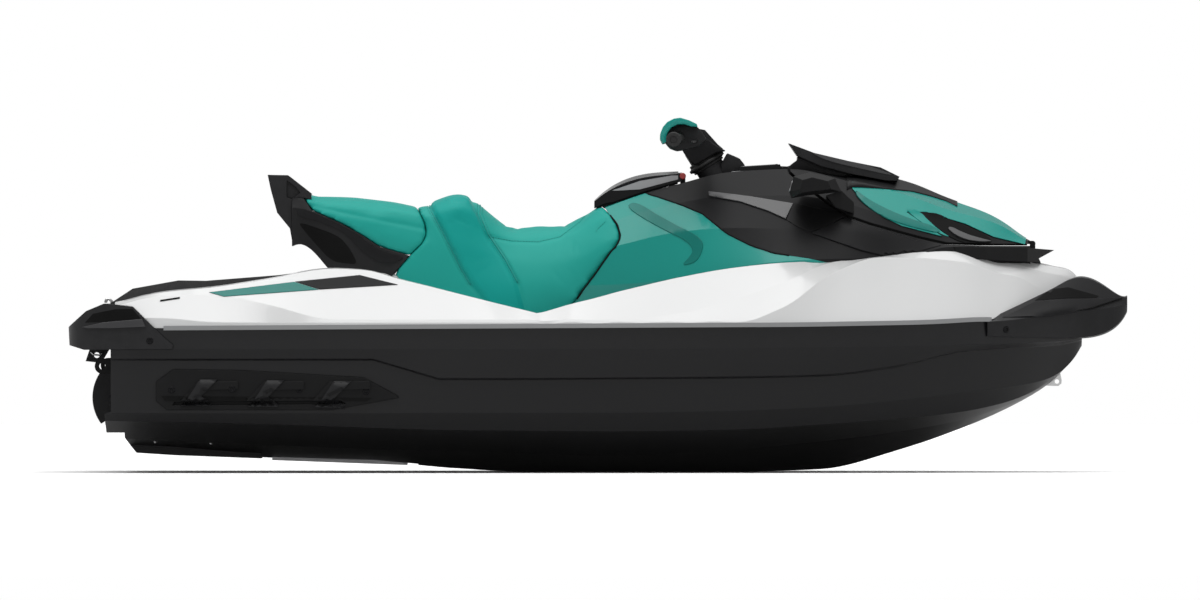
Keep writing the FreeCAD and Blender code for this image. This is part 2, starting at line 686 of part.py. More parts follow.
sponson_shares = [(0.083, 0.257), (0.099, 0.291), (0.164, 0.288), (0.278, 0.268), (0.309, 0.218),
                  (0.311, 0.212), (0.249, 0.178), (0.093, 0.178), (0.083, 0.203)]
sponson_recess = feature("sponson_recess", side_slab(
    sponson_shares, -side_reach, -size("sponson_floor_half")))
sponson_recesses = pair("sponson_recesses", sponson_recess)

# Storage bin under the hood
bin_shares = (0.716, 0.800)
bin_top_share = 0.900
storage_bin = box(
    "storage_bin",
    Length=total(("length", bin_shares[1] - bin_shares[0])),
    Width=total(("bin_half", 2)),
    Height=total(("height", bin_top_share), ("bin_floor", -1)),
    place_x=along(bin_shares[0]),
    place_y=total(("bin_half", -1)),
    place_z=total(("bin_floor", 1)),
)

hull_under = common("hull_under_sheer", hull_form, below_sheer)
hull = cut("hull", hull_under, fuse("hull_cutters", [
    transom_cutter, footwell, stern_bumper, engine_bay, tunnel, notch, duct, shaft_way, sponson_recesses,
    storage_bin]))

# Deck

deck_aft = feature("deck_aft", skin(aft_deck_shares))
deck_fore = feature("deck_fore", skin(fore_deck_shares))
deck_form = fuse("deck_form", [deck_aft, deck_fore])
deck_region = fuse("deck_region", [above_sheer, footwell])
deck_rough = common("deck_rough", deck_form, deck_region)
deck = cut("deck", deck_rough, fuse("deck_cutters", [stern_bumper, engine_bay, storage_bin]))

# Rub rail along the sheer, and the bumper round the bow

rail_shares = [(0.090, 0.974), (0.135, 0.979), (0.188, 0.981), (0.311, 0.981), (0.441, 0.979),
               (0.538, 0.978), (0.586, 0.974), (0.633, 0.965), (0.681, 0.939), (0.718, 0.909),
               (0.766, 0.845), (0.828, 0.701), (0.870, 0.556)]


def line_height(line_shares, along_share):
    """The height of a side line at a station, as a share of the height."""
    for (start, low), (end, high) in zip(line_shares, line_shares[1:]):
        if start <= along_share <= end:
            return low + (high - low) * (along_share - start) / (end - start)
    raise ValueError("no such station on the line")


def rail_shape():
    """A strip over the joint of hull and deck, on the starboard side."""
    wires = []
    for along_share, across_share in rail_shares:
        middle = line_height(sheer_shares, along_share)
        inner = across_share * half_beam - size("rail_deep")
        outer = across_share * half_beam + size("rail_deep")
        half_tall = size("rail_tall") / 2
        corners = []
        for across, rise in ((inner, -half_tall), (outer, -half_tall), (outer, half_tall), (inner, half_tall)):
            point = spot(along_share, middle, -across)
            corners.append(point + FreeCAD.Vector(0, 0, rise))
        wires.append(Part.makePolygon(corners + corners[:1]))
    return Part.makeLoft(wires, True, False, False)


rail_form = pair("rail_form", feature("rail_starboard", rail_shape()))

# Ribs of the bow bumper: top inner, shoulder, nose and lower edge
bow_bumper_ribs_shares = [
    (0.866, [(0.500, 0.380), (0.575, 0.384), (0.590, 0.425), (0.500, 0.431), (0, 0.431)]),
    (0.892, [(0.400, 0.380), (0.500, 0.382), (0.518, 0.430), (0.440, 0.466), (0, 0.466)]),
    (0.914, [(0.300, 0.380), (0.410, 0.381), (0.432, 0.440), (0.330, 0.497), (0, 0.497)]),
    (0.935, [(0.200, 0.378), (0.308, 0.379), (0.335, 0.450), (0.220, 0.528), (0, 0.528)]),
    (0.955, [(0.130, 0.377), (0.215, 0.380), (0.250, 0.455), (0.150, 0.549), (0, 0.553)]),
    (0.974, [(0.080, 0.384), (0.150, 0.388), (0.190, 0.460), (0.120, 0.530), (0, 0.534)]),
    (0.990, [(0.040, 0.422), (0.100, 0.430), (0.130, 0.468), (0.090, 0.509), (0, 0.513)]),
    (1.000, [(0.020, 0.452), (0.060, 0.458), (0.080, 0.475), (0.060, 0.496), (0, 0.499)]),
]
bow_form = feature("bow_bumper_form", skin(bow_bumper_ribs_shares))
bow_bumper = cut("bow_bumper", cut("bow_off_hull", bow_form, hull_under), deck_rough)
rail_off_bumper = cut("rail_off_bumper", rail_form, bow_form)
rub_rail = cut("rub_rail", cut("rail_off_hull", rail_off_bumper, hull_under), deck_rough)

# Seat, its black tail cover and the grab handle behind it

seat_form = feature("seat_form", skin(seat_shares))
under_front_shares = [(0.285, 0.350), (0.461, 0.350)]
over_front_shares = [(0.490, 0.850)]
round_tail_shares = [(0.190, 0.480), (0.190, 0.850)]
seat_front_region = feature("seat_front_region", side_slab(
    seat_split_shares + under_front_shares + seat_front_shares[::-1] + over_front_shares,
    -side_reach, side_reach))
seat_front = cut("seat_front", common("seat_front_rough", seat_form, seat_front_region), deck_form)
seat_rear_region = feature("seat_rear_region", side_slab(
    seat_split_shares[:7] + tail_line_shares[::-1][1:], -side_reach, side_reach))
seat_rear = cut("seat_rear", common("seat_rear_rough", seat_form, seat_rear_region), deck_form)
seat_tail_region = feature("seat_tail_region", side_slab(
    tail_line_shares + seat_split_shares[7:] + round_tail_shares, -side_reach, side_reach))
seat_tail = cut("seat_tail", common("seat_tail_rough", seat_form, seat_tail_region), deck_form)

handle_shares = [(0.186, 0.839), (0.205, 0.838), (0.227, 0.787), (0.229, 0.737), (0.240, 0.709),
                 (0.240, 0.668), (0.220, 0.660), (0.209, 0.655), (0.207, 0.688), (0.195, 0.732),
                 (0.189, 0.797)]
handle_hole_shares = [(0.186, 0.715), (0.222, 0.715)]
handle_window_shares = [(0.204, 0.824), (0.213, 0.804), (0.217, 0.788), (0.209, 0.770), (0.204, 0.776)]


def handle_shape():
    """The handle behind the seat, with a hole for a hand inside its rear bar."""
    slab = side_slab(handle_shares, -size("handle_half"), size("handle_half"))
    bar = FreeCAD.Vector(size("handle_bar"), 0, 0)
    hole_start = spot(*handle_hole_shares[0], -size("handle_hole_half")) + bar
    hole_long = spot(*handle_hole_shares[1]).x - hole_start.x
    hole = Part.makeBox(hole_long, 2 * size("handle_hole_half"), height, hole_start)
    window = side_slab(handle_window_shares, -side_reach, side_reach)
    return slab.cut(hole).cut(window)


handle_form = feature("handle_form", handle_shape())
grab_handle = cut("grab_handle", handle_form, seat_form)

# Body above the deck: knee panel, console and hood meet along two lines

body_form = feature("body_form", skin(body_shares))
body_off_deck = cut("body_off_deck", body_form, deck_form)
under_panel_shares = [(0.728, 0.400), (0.461, 0.400)]
knee_region = feature("knee_region", side_slab(
    panel_line_shares + under_panel_shares + seat_front_shares[::-1][1:-1], -side_reach, side_reach))
glove_shares = [(0.516, 0.700), (0.566, 0.700), (0.566, 0.850), (0.516, 0.850)]
glove_box = feature("glove_pocket", side_slab(glove_shares, -size("glove_half"), size("glove_half")))
knee_rough = common("knee_rough", body_off_deck, knee_region)
knee_panel = cut("knee_panel", knee_rough, fuse("knee_cutters", [glove_box, storage_bin]))


def shifted_line(line_shares, back, down):
    """A side line moved back and down by two lengths, still as shares."""
    return [(share - back / length, up - down / height) for share, up in line_shares]


gap = size("moving_gap")
console_line_shares = shifted_line(lid_line_shares, gap, gap)
over_console_shares = [(0.490, 1.000), (0.672, 1.000)]
under_console_shares = [(0.930, 0.450), (0.728, 0.450)]
behind_console_shares = [(0.490, 0.774)]
console_outline_shares = (over_console_shares + console_line_shares + under_console_shares
                          + panel_line_shares[::-1] + behind_console_shares)
console_region = feature("console_region", side_slab(console_outline_shares, -side_reach, side_reach))
console_rough = common("console_rough", body_off_deck, console_region)

# Steering axis, leaning back over the console
pivot_shares = (0.606, 0.853)
socket_above_share = 0.35
pivot = spot(*pivot_shares)
lean = math.radians(size("steering_lean"))
steering_way = FreeCAD.Vector(-math.sin(lean), 0, math.cos(lean))


def on_steering(label, radius, start, end):
    """A round bar on the steering axis between two distances from the pivot."""
    shape = Part.makeCylinder(radius, end - start, pivot + steering_way * start, steering_way)
    return feature(label, shape)


socket_top = size("socket_long") * socket_above_share
column_way = on_steering("column_way", size("column_radius") + size("pin_gap"), -size("column_long"), size("height"))
console = cut("console", console_rough, fuse("console_cutters", [column_way, storage_bin, glove_box]))
socket_solid = on_steering("socket_solid", size("socket_radius"), socket_top - size("socket_long"), socket_top)
socket_off = cut("socket_off_console", socket_solid, console_rough)
steering_socket = cut("steering_socket", socket_off, column_way)

# Instrument hump in front of the handlebar
instrument_shares = [(0.627, 0.836), (0.633, 0.862), (0.671, 0.869), (0.673, 0.847), (0.668, 0.831)]
instrument_form = feature("instrument_form", side_slab(
    instrument_shares, -size("panel_half"), size("panel_half")))
instrument = cut("instrument", instrument_form, body_form)

# Hood: a shell lifted off the body along the lid line, with a coloured insert
over_hood_shares = [(0.930, 1.000), (0.677, 1.000)]
hood_region = feature("hood_region", side_slab(lid_line_shares + over_hood_shares, -side_reach, side_reach))
hood_inner = feature("hood_inner", skin(body_shares, size("hood_wall")))
hood_full = common("hood_full", body_form, hood_region)
hollow_shares = [(0.700, 0.400), (0.880, 0.400), (0.880, 1.000), (0.700, 1.000)]
hood_hollow_reach = feature("hood_hollow_reach", side_slab(hollow_shares, -side_reach, side_reach))
hood_hollow = common("hood_hollow", hood_inner, hood_hollow_reach)
hood_open = cut("hood_open", hood_full, hood_hollow)
insert_shares = [(0.739, 0.799), (0.740, 0.840), (0.796, 0.840), (0.856, 0.800), (0.893, 0.730),
                 (0.906, 0.680), (0.903, 0.643), (0.873, 0.664), (0.846, 0.701), (0.809, 0.734),
                 (0.790, 0.734), (0.824, 0.665), (0.785, 0.695), (0.768, 0.720), (0.747, 0.774)]
insert_region = feature("insert_region", side_slab(insert_shares, -side_reach, side_reach))
proud_skin = feature("proud_skin", skin(body_shares, -size("insert_proud")))
deep_skin = feature("deep_skin", skin(body_shares, size("insert_deep")))
insert_block = common("insert_block", proud_skin, insert_region)
hood_insert = cut("hood_insert", insert_block, deep_skin)
hood_off_insert = cut("hood_off_insert", hood_open, hood_insert)

# Hinge of the hood: a knuckle at its tip on a pin between two ears of the nose trim
hood_hinge_shares = (0.9105, 0.6451)
hood_hinge = spot(*hood_hinge_shares)
ear_start = size("hood_knuckle_half") + gap


def cross_bar(centre, radius, start, end):
    """A round bar across the craft between two distances from the middle plane."""
    way = FreeCAD.Vector(0, 1, 0)
    return Part.makeCylinder(radius, end - start, centre + way * start, way)


def hood_knuckle_shape():
    """The knuckle and the tongue that joins it to the hood's tip."""
    half = size("hood_knuckle_half")
    radius = size("knuckle_radius")
    knuckle = cross_bar(hood_hinge, radius, -half, half)
    tongue = Part.makeBox(3 * radius, 2 * half, radius, hood_hinge - FreeCAD.Vector(3 * radius, half, 0))
    return knuckle.fuse(tongue)


def ear_way_shape():
    """Room for the ears beside the knuckle."""
    half = size("hood_knuckle_half")
    start = hood_hinge.x - size("ear_radius") - gap
    sides = []
    for base in (half, -half - height):
        corner = FreeCAD.Vector(start, base, 0)
        sides.append(Part.makeBox(height, height, 2 * height, corner))
    return sides[0].fuse(sides[1])


hood_joined = fuse("hood_joined", [
    cut("hood_trimmed", hood_off_insert, feature("ear_way", ear_way_shape())),
    feature("hood_knuckle", hood_knuckle_shape())])
hood_pin_way = feature("hood_pin_way", cross_bar(
    hood_hinge, size("small_pin_radius") + size("pin_gap"), -height, height))
hood_shell = cut("hood_shell", hood_joined, fuse("hood_ways", [hood_pin_way, hood_insert]))

visor_shares = [(0.679, 0.928), (0.703, 0.901), (0.737, 0.877), (0.766, 0.860), (0.784, 0.834),
                (0.782, 0.822), (0.771, 0.823), (0.737, 0.842), (0.709, 0.864), (0.687, 0.893)]
visor_plan_shares = [(0.677, 0.200), (0.690, 0.262), (0.740, 0.270), (0.786, 0.180)]


def visor_shape():
    """The peak over the instruments, tapered in plan."""
    slab = side_slab(visor_shares, -side_reach, side_reach)
    return slab.common(plan_slab(visor_plan_shares, 0, 2 * height))


visor = cut("visor", feature("visor_form", visor_shape()), fuse("visor_seat", [body_form, insert_block]))

mirror_shares = [(0.683, 0.833), (0.698, 0.845), (0.722, 0.828), (0.728, 0.790), (0.696, 0.780),
                 (0.681, 0.772), (0.679, 0.790)]
mirror_arm_shares = [(0.714, 0.780), (0.728, 0.794), (0.740, 0.760), (0.740, 0.729), (0.723, 0.746)]
mirror_reach_shares = (0.500, 0.560, 0.700, 0.760)
mirror_scale_shares = (0.620, 1.000, 1.000, 0.600)
mirror_middle_shares = (0.704, 0.808)
arm_reach_shares = (0.430, 0.600)


def mirror_section(across_share, scale):
    """A section of a mirror housing, drawn in about its middle."""
    middle = spot(*mirror_middle_shares, -across_share * half_beam)
    corners = []
    for along_share, up_share in mirror_shares:
        point = spot(along_share, up_share, -across_share * half_beam)
        corners.append(middle + (point - middle) * scale)
    return Part.makePolygon(corners + corners[:1])


def mirror_shape():
    """A rear-view mirror's housing and its arm, on the starboard side."""
    stations = zip(mirror_reach_shares, mirror_scale_shares)
    sections = [mirror_section(share, scale) for share, scale in stations]
    housing = Part.makeLoft(sections, True, True, False)
    arm_inner, arm_outer = [-share * half_beam for share in arm_reach_shares]
    arm = side_slab(mirror_arm_shares, arm_outer, arm_inner)
    return housing.fuse(arm)


mirror_form = feature("mirror_form", mirror_shape())
mirror_housings = pair("mirror_housings", cut("mirror_starboard", mirror_form, body_form))

# Nose trim: the black beak under the hood's tip
nose_shares = [(0.827, 0.636), (0.901, 0.634), (0.931, 0.627), (0.916, 0.603), (0.918, 0.591),
               (0.859, 0.600), (0.827, 0.600)]
nose_plan_shares = [(0.827, 0.419), (0.865, 0.355), (0.905, 0.224), (0.931, 0.030)]


def nose_shape():
    """A wedge that narrows to the tip."""
    slab = side_slab(nose_shares, -side_reach, side_reach)
    return slab.common(plan_slab(nose_plan_shares, 0, height))


def hood_ears_shape():
    """Two ears on the nose trim and the pin between them."""
    end = ear_start + size("ear_thick")
    radius = size("ear_radius")
    pieces = [cross_bar(hood_hinge, size("small_pin_radius"), -end, end)]
    for start in (ear_start, -end):
        pieces.append(cross_bar(hood_hinge, radius, start, start + size("ear_thick")))
        foot = FreeCAD.Vector(hood_hinge.x - radius, start, hood_hinge.z - 3 * radius)
        pieces.append(Part.makeBox(2 * radius, size("ear_thick"), 3 * radius, foot))
    return pieces[0].multiFuse(pieces[1:])


nose_form = fuse("nose_form", [
    feature("nose_wedge", nose_shape()), feature("hood_ears", hood_ears_shape())])
nose_trim = cut("nose_trim", cut("nose_off_body", nose_form, body_off_deck), deck_form)

# Mirror glass on the rear face of each housing
glass_reach_shares = (0.515, 0.560, 0.700, 0.745)
glass_scale_shares = (0.700, 1.000, 1.000, 0.660)
glass_edge_shares = [(0.6822, 0.828), (0.6795, 0.790), (0.6805, 0.778)]


def glass_section(across_share, scale):
    """A section of the glass, from behind the housing's rear face into the housing."""
    middle = spot(*mirror_middle_shares, -across_share * half_beam)
    face = [middle + (spot(along_share, up_share, -across_share * half_beam) - middle) * scale
            for along_share, up_share in glass_edge_shares]
    back = FreeCAD.Vector(-size("glass_thick"), 0, 0)
    corners = [point + back for point in face] + [point - back for point in reversed(face)]
    return Part.makePolygon(corners + corners[:1])


def glass_shape():
    """The glass of the starboard mirror, to be trimmed by its housing."""
    sections = [glass_section(share, scale) for share, scale in zip(glass_reach_shares, glass_scale_shares)]
    return Part.makeLoft(sections, True, True, False)


glass_form = feature("glass_form", glass_shape())
mirror_glasses = pair("mirror_glasses", cut("glass_starboard", glass_form, mirror_form))

# Glove box lid, hinged at its front edge
lid_ribs_shares = [
    (0.495, [(0.090, 0.700), (0.092, 0.764), (0, 0.767)]),
    (0.510, [(0.130, 0.700), (0.132, 0.797), (0, 0.805)]),
    (0.535, [(0.160, 0.700), (0.162, 0.827), (0, 0.837)]),
    (0.558, [(0.172, 0.700), (0.174, 0.838), (0, 0.847)]),
    (0.578, [(0.176, 0.700), (0.178, 0.842), (0, 0.850)]),
]
lid_form = feature("lid_form", skin(lid_ribs_shares))
raised_body = feature("raised_body", skin(body_shares, -gap))
raised_seat = feature("raised_seat", skin(seat_shares, -gap))
lid_trimmed = cut("lid_trimmed", lid_form, fuse("lid_cutters", [raised_body, raised_seat]))

# Hinge of the lid: a block on the knee panel carries a pin through two knuckles of the lid
lid_hinge_shares = (0.5790, 0.8356)
lid_hinge_axis = spot(*lid_hinge_shares)


def lid_hinge_shape():
    """The block, rounded on top, and its pin."""
    half = size("lid_block_half")
    radius = size("ear_radius")
    outer = size("lid_knuckle_outer")
    corner = lid_hinge_axis - FreeCAD.Vector(radius, half, height / 10)
    block = Part.makeBox(2 * radius, 2 * half, height / 10, corner)
    top = cross_bar(lid_hinge_axis, radius, -half, half)
    return block.fuse(top).fuse(cross_bar(lid_hinge_axis, size("small_pin_radius"), -outer, outer))


def lid_knuckles_shape():
    """Two knuckles at the lid's front edge."""
    inner = size("lid_block_half") + gap
    outer = size("lid_knuckle_outer")
    radius = size("knuckle_radius")
    pieces = []
    for start, end in ((inner, outer), (-outer, -inner)):
        pieces.append(cross_bar(lid_hinge_axis, radius, start, end))
        corner = lid_hinge_axis + FreeCAD.Vector(-2 * radius, start, 0)
        pieces.append(Part.makeBox(2 * radius, end - start, radius, corner))
    return pieces[0].multiFuse(pieces[1:])


def lid_block_way_shape():
    """Room for the block in the lid's front edge."""
    half = size("lid_block_half") + gap
    start = lid_hinge_axis.x - size("ear_radius") - gap
    return Part.makeBox(height, 2 * half, height, FreeCAD.Vector(start, -half, height / 2))


lid_hinge = cut("lid_hinge", feature("lid_hinge_form", lid_hinge_shape()), body_form)
lid_joined = fuse("lid_joined", [
    cut("lid_open_front", lid_trimmed, feature("lid_block_way", lid_block_way_shape())),
    feature("lid_knuckles", lid_knuckles_shape())])
lid_pin_way = feature("lid_pin_way", cross_bar(
    lid_hinge_axis, size("small_pin_radius") + size("pin_gap"), -height, height))
glovebox_lid = cut("glovebox_lid", lid_joined, lid_pin_way)

# Handlebar: riser, bent tube, grips, palm rests, switch pods and levers

bar_middle_shares = (0.594, 0.955)
bar_bend_shares = (0.578, 0.944)
bar_end_shares = (0.570, 0.937)
bar_reach_shares = (0.100, 0.330, 0.640)
bar_middle = spot(*bar_middle_shares)
bar_bend = spot(*bar_bend_shares, bar_reach_shares[1] * half_beam)
bar_end = spot(*bar_end_shares, bar_reach_shares[2] * half_beam)


def rod(start, end, radius):
    """A round bar between two points."""
    way = end - start
    return Part.makeCylinder(radius, way.Length, start, way)


def across(point, side):
    """A port point, or its starboard twin when side is -1."""
    return FreeCAD.Vector(point.x, point.y * side, point.z)


def bar_shape():
    """The tube: a straight clamp length and a raked end each side, with ball-smooth bends."""
    radius = size("bar_radius")
    centre_out = spot(*bar_middle_shares, bar_reach_shares[0] * half_beam)
    pieces = [rod(across(centre_out, -1), centre_out, radius)]
    for side in (1, -1):
        pieces.append(rod(across(centre_out, side), across(bar_bend, side), radius))
        pieces.append(rod(across(bar_bend, side), across(bar_end, side), radius))
        pieces.append(Part.makeSphere(radius, across(centre_out, side)))
        pieces.append(Part.makeSphere(radius, across(bar_bend, side)))
    return pieces[0].multiFuse(pieces[1:])


bar_form = feature("bar_form", bar_shape())

riser_foot_share = 0.600
riser_shares = [(0.584, 0.950), (0.590, 0.972), (0.600, 0.966), (0.612, 0.926), (0.617, 0.913),
                (0.592, 0.893), (0.584, 0.915)]


def riser_shape():
    """The clamp that lifts the tube off the column, with a round foot square to the axis."""
    half = size("riser_half")
    block = side_slab(riser_shares, -half, half)
    foot_start = socket_top + size("moving_gap")
    foot_long = size("socket_long") * riser_foot_share
    foot = Part.makeCylinder(half, foot_long, pivot + steering_way * foot_start, steering_way)
    above = Part.makeCylinder(2 * height, height, pivot + steering_way * foot_start, steering_way)
    return block.fuse(foot).common(above)


riser = cut("steering_riser", feature("riser_form", riser_shape()), bar_form)
foot_start = socket_top + size("moving_gap")
steering_column = on_steering(
    "steering_column", size("column_radius"), socket_top - size("socket_long"), foot_start)
handlebar = bar_form
handlebar.Label = "handlebar"


def bar_point(share):
    """A point of the raked end, from its bend out to its tip."""
    return bar_bend + (bar_end - bar_bend) * share


grip_start_share = 0.150


def grip_shape(side):
    """A grip with a flange at its inner end and a bore for the tube."""
    start = across(bar_point(grip_start_share), side)
    end = across(bar_end, side)
    way = end - start
    way.normalize()
    sleeve = rod(start, end + way * size("grip_flange_thick"), size("grip_radius"))
    inner_flange = rod(start, start + way * size("grip_flange_thick"), size("grip_flange_radius"))
    outer_flange = rod(end, end + way * size("grip_flange_thick"), size("grip_flange_radius"))
    return sleeve.fuse(inner_flange).fuse(outer_flange)


grips_form = feature("grips_form", Part.makeCompound([grip_shape(1), grip_shape(-1)]))
grips = cut("grips", grips_form, bar_form)


pod_shares = (0.020, 0.300)


def pod_shape(side):
    """A switch housing round the tube, next to the riser's bend."""
    inward = bar_middle - bar_bend
    end, start = [across(bar_bend + inward * share, side) for share in pod_shares]
    return rod(start, end, size("pod_radius"))


pods_form = feature("pods_form", Part.makeCompound([pod_shape(1), pod_shape(-1)]))
switch_pods = cut("switch_pods", pods_form, bar_form)


lever_tip_share = 0.750
lever_reach_shares = (0.800, 2.000, 1.900)
lever_drop_share = -0.200


def lever_shape(side):
    """A finger lever in front of a grip, rooted in its pod."""
    reach = FreeCAD.Vector(1, 0, lever_drop_share)
    reach.normalize()
    root_reach, knee_reach, tip_reach = [reach * size("pod_radius") * share for share in lever_reach_shares]
    root = across(bar_bend, side) + root_reach
    knee = across(bar_point(grip_start_share), side) + knee_reach
    tip = across(bar_point(lever_tip_share), side) + tip_reach
    radius = size("lever_radius")
    arm = rod(root, knee, radius)
    blade = rod(knee, tip, radius)
    return arm.fuse(blade).fuse(Part.makeSphere(radius, knee)).fuse(Part.makeSphere(radius, tip))


levers_form = feature("levers_form", Part.makeCompound([lever_shape(1), lever_shape(-1)]))
levers = cut("levers", levers_form, pods_form)

palm_shares = [(0.557, 0.950), (0.562, 0.979), (0.570, 0.996), (0.576, 1.000), (0.592, 0.982),
               (0.592, 0.966), (0.583, 0.955), (0.577, 0.946), (0.570, 0.946), (0.565, 0.948),
               (0.559, 0.944)]


def palm_shape():
    """A palm rest over the inner end of the starboard grip."""
    return side_slab(palm_shares, -size("palm_outer_half"), -size("palm_inner_half"))


palm_form = feature("palm_form", palm_shape())
palm_pair = pair("palm_pair", palm_form)
palm_rests = cut("palm_rests", palm_pair, fuse("palm_cutters", [grips_form, pods_form, bar_form]))

# Jet pump. Its pieces are drawn about the pump axis, from the tunnel's front wall back.

pump_start = spot(tunnel_front_share, 0).x
pump_axis_height = size("pump_axis_height")


def pump_point(back, up=0.0, sideways=0.0):
    """A point at a distance behind the tunnel's front wall and off the pump axis."""
    return FreeCAD.Vector(pump_start - back, sideways, pump_axis_height + up)


def pump_turned(profile):
    """A profile of distances back and radii, turned about the pump axis."""
    corners = [pump_point(back, radius) for back, radius in profile]
    return turned(corners, pump_point(0), FreeCAD.Vector(1, 0, 0))


def blade_shape(start, long, inner, outer, pitch, thick):
    """A twisted blade of constant pitch between two radii."""
    sections = []
    for radius in (inner, (inner + outer) / 2, outer):
        slope = math.atan2(2 * math.pi * radius, pitch)
        forward = FreeCAD.Vector(-math.cos(slope), math.sin(slope), 0)
        thickness = FreeCAD.Vector(math.sin(slope), math.cos(slope), 0) * (thick / 2)
        reach = forward * (long / 2 / math.cos(slope))
        middle = pump_point(start + long / 2, radius)
        corners = [middle - reach - thickness, middle + reach - thickness,
                   middle + reach + thickness, middle - reach + thickness]
        sections.append(Part.makePolygon(corners + corners[:1]))
    return Part.makeLoft(sections, True, True, False)


def spun(shape, count):
    """Copies of a shape spread evenly about the pump axis."""
    copies = []
    for index in range(int(count)):
        twin = shape.copy()
        twin.rotate(pump_point(0), FreeCAD.Vector(1, 0, 0), 360 * index / count)
        copies.append(twin)
    return copies


nozzle_pivot_back = size("barrel_long") + size("venturi_long") + size("spigot_long") - size("nozzle_lip")
bucket_rear_share = 0.020
bucket_pivot_x = spot(bucket_rear_share, 0).x + size("bucket_radius")


def housing_shape():
    """Flange, wear ring, stator with its hub and tail cone, venturi, spigot and hinge brackets."""
    flange_thick = size("flange_thick")
    barrel = size("barrel_radius")
    bore = size("barrel_bore")
    barrel_end = size("barrel_long")
    venturi_end = barrel_end + size("venturi_long")
    spigot_end = venturi_end + size("spigot_long")
    shell = pump_turned([
        (0, bore), (0, barrel), (barrel_end, barrel), (venturi_end, size("spigot_radius")),
        (spigot_end, size("spigot_radius")), (spigot_end, size("spigot_bore")),
        (venturi_end, size("spigot_bore")), (barrel_end, bore)])
    half = size("flange_half")
    plate = Part.makeBox(flange_thick, 2 * half, 2 * half, pump_point(flange_thick, -half, -half))
    opening = Part.makeCylinder(bore, flange_thick, pump_point(flange_thick), FreeCAD.Vector(1, 0, 0))
    hub = size("stator_hub_radius")
    start = size("stator_start")
    end = start + size("stator_long")
    tail = end + size("tail_cone_long")
    pin_bore = size("shaft_radius") + size("pin_gap")
    core = pump_turned([
        (start, pin_bore), (start, hub), (end, hub), (tail, pin_bore + size("vane_thick")), (tail, pin_bore)])
    vane = Part.makeBox(size("stator_long"), size("vane_thick"), (barrel + bore) / 2 - hub + 2 * size("vane_thick"),
                        pump_point(end, hub - 2 * size("vane_thick"), -size("vane_thick") / 2))
    vanes = [item.cut(Part.makeCylinder((hub + pin_bore) / 2, size("stator_long"), pump_point(end),
                                        FreeCAD.Vector(1, 0, 0))) for item in spun(vane, size("vane_count"))]
    solid = shell.multiFuse([plate.cut(opening), core] + vanes)
    bracket_start = barrel_end - size("bracket_tall")
    bracket_end = pump_start - bucket_pivot_x + size("bracket_tall") / 2
    inner = size("bracket_inner_half")
    pieces = []
    for side in (1, -1):
        base = inner if side > 0 else -inner - size("bracket_thick")
        arm = Part.makeBox(bracket_end - bracket_start, size("bracket_thick"), size("bracket_tall"),
                           pump_point(bracket_end, -size("bracket_tall") / 2, base))
        pin = Part.makeCylinder(
            size("hinge_pin_radius"), size("bucket_inner_half") + size("bucket_arm_thick") - inner,
            FreeCAD.Vector(bucket_pivot_x, side * inner, pump_axis_height), FreeCAD.Vector(0, side, 0))
        pieces += [arm, pin]
    for side in (1, -1):
        foot = size("spigot_bore") + size("pin_gap")
        pin = Part.makeCylinder(
            size("hinge_pin_radius"), size("nozzle_front_radius") + size("nozzle_wall") - foot,
            pump_point(nozzle_pivot_back, side * foot), FreeCAD.Vector(0, 0, side))
        pieces.append(pin)
    return solid.multiFuse(pieces)


pump_housing = feature("pump_housing", housing_shape())


def impeller_shape():
    """Hub, blades of constant pitch and the drive shaft, in one piece."""
    start = size("impeller_start")
    end = start + size("impeller_long")
    shaft = size("shaft_radius")
    shaft_front = -(spot(bay_front_share, 0).x - size("engine_long") - size("pin_gap") - pump_start)
    core = pump_turned([
        (shaft_front, 0), (shaft_front, shaft), (start - shaft, shaft), (start, size("impeller_hub_radius")),
        (end, size("stator_hub_radius")), (end, shaft), (size("stator_start") + size("shaft_radius") * 3, shaft),
        (size("stator_start") + size("shaft_radius") * 3, 0)])
    blade = blade_shape(start, size("impeller_long"), size("impeller_hub_radius") - size("blade_thick"),
                        size("impeller_radius") + size("blade_thick"), size("impeller_pitch"), size("blade_thick"))
    disc = Part.makeCylinder(size("impeller_radius"), size("impeller_long"), pump_point(end),
                             FreeCAD.Vector(1, 0, 0))
    blades = [item.common(disc) for item in spun(blade, size("blade_count"))]
    return core.multiFuse(blades)


impeller = feature("impeller", impeller_shape())


def nozzle_shape():
    """The steering nozzle: a short cone with an upper and a lower pivot bore."""
    lip = size("nozzle_lip")
    front = size("nozzle_front_radius")
    wall = size("nozzle_wall")
    exit_radius = size("nozzle_exit_radius")
    pivot_back = nozzle_pivot_back
    cone = pump_turned([
        (pivot_back - lip, front - wall), (pivot_back - lip, front), (pivot_back + lip, front),
        (pivot_back + size("nozzle_long"), exit_radius),
        (pivot_back + size("nozzle_long"), exit_radius - wall), (pivot_back + lip, front - wall)])
    bore = Part.makeCylinder(size("hinge_pin_radius") + size("pin_gap"), 4 * front,
                             pump_point(pivot_back, -2 * front), FreeCAD.Vector(0, 0, 1))
    return cone.cut(bore)


nozzle = feature("steering_nozzle", nozzle_shape())


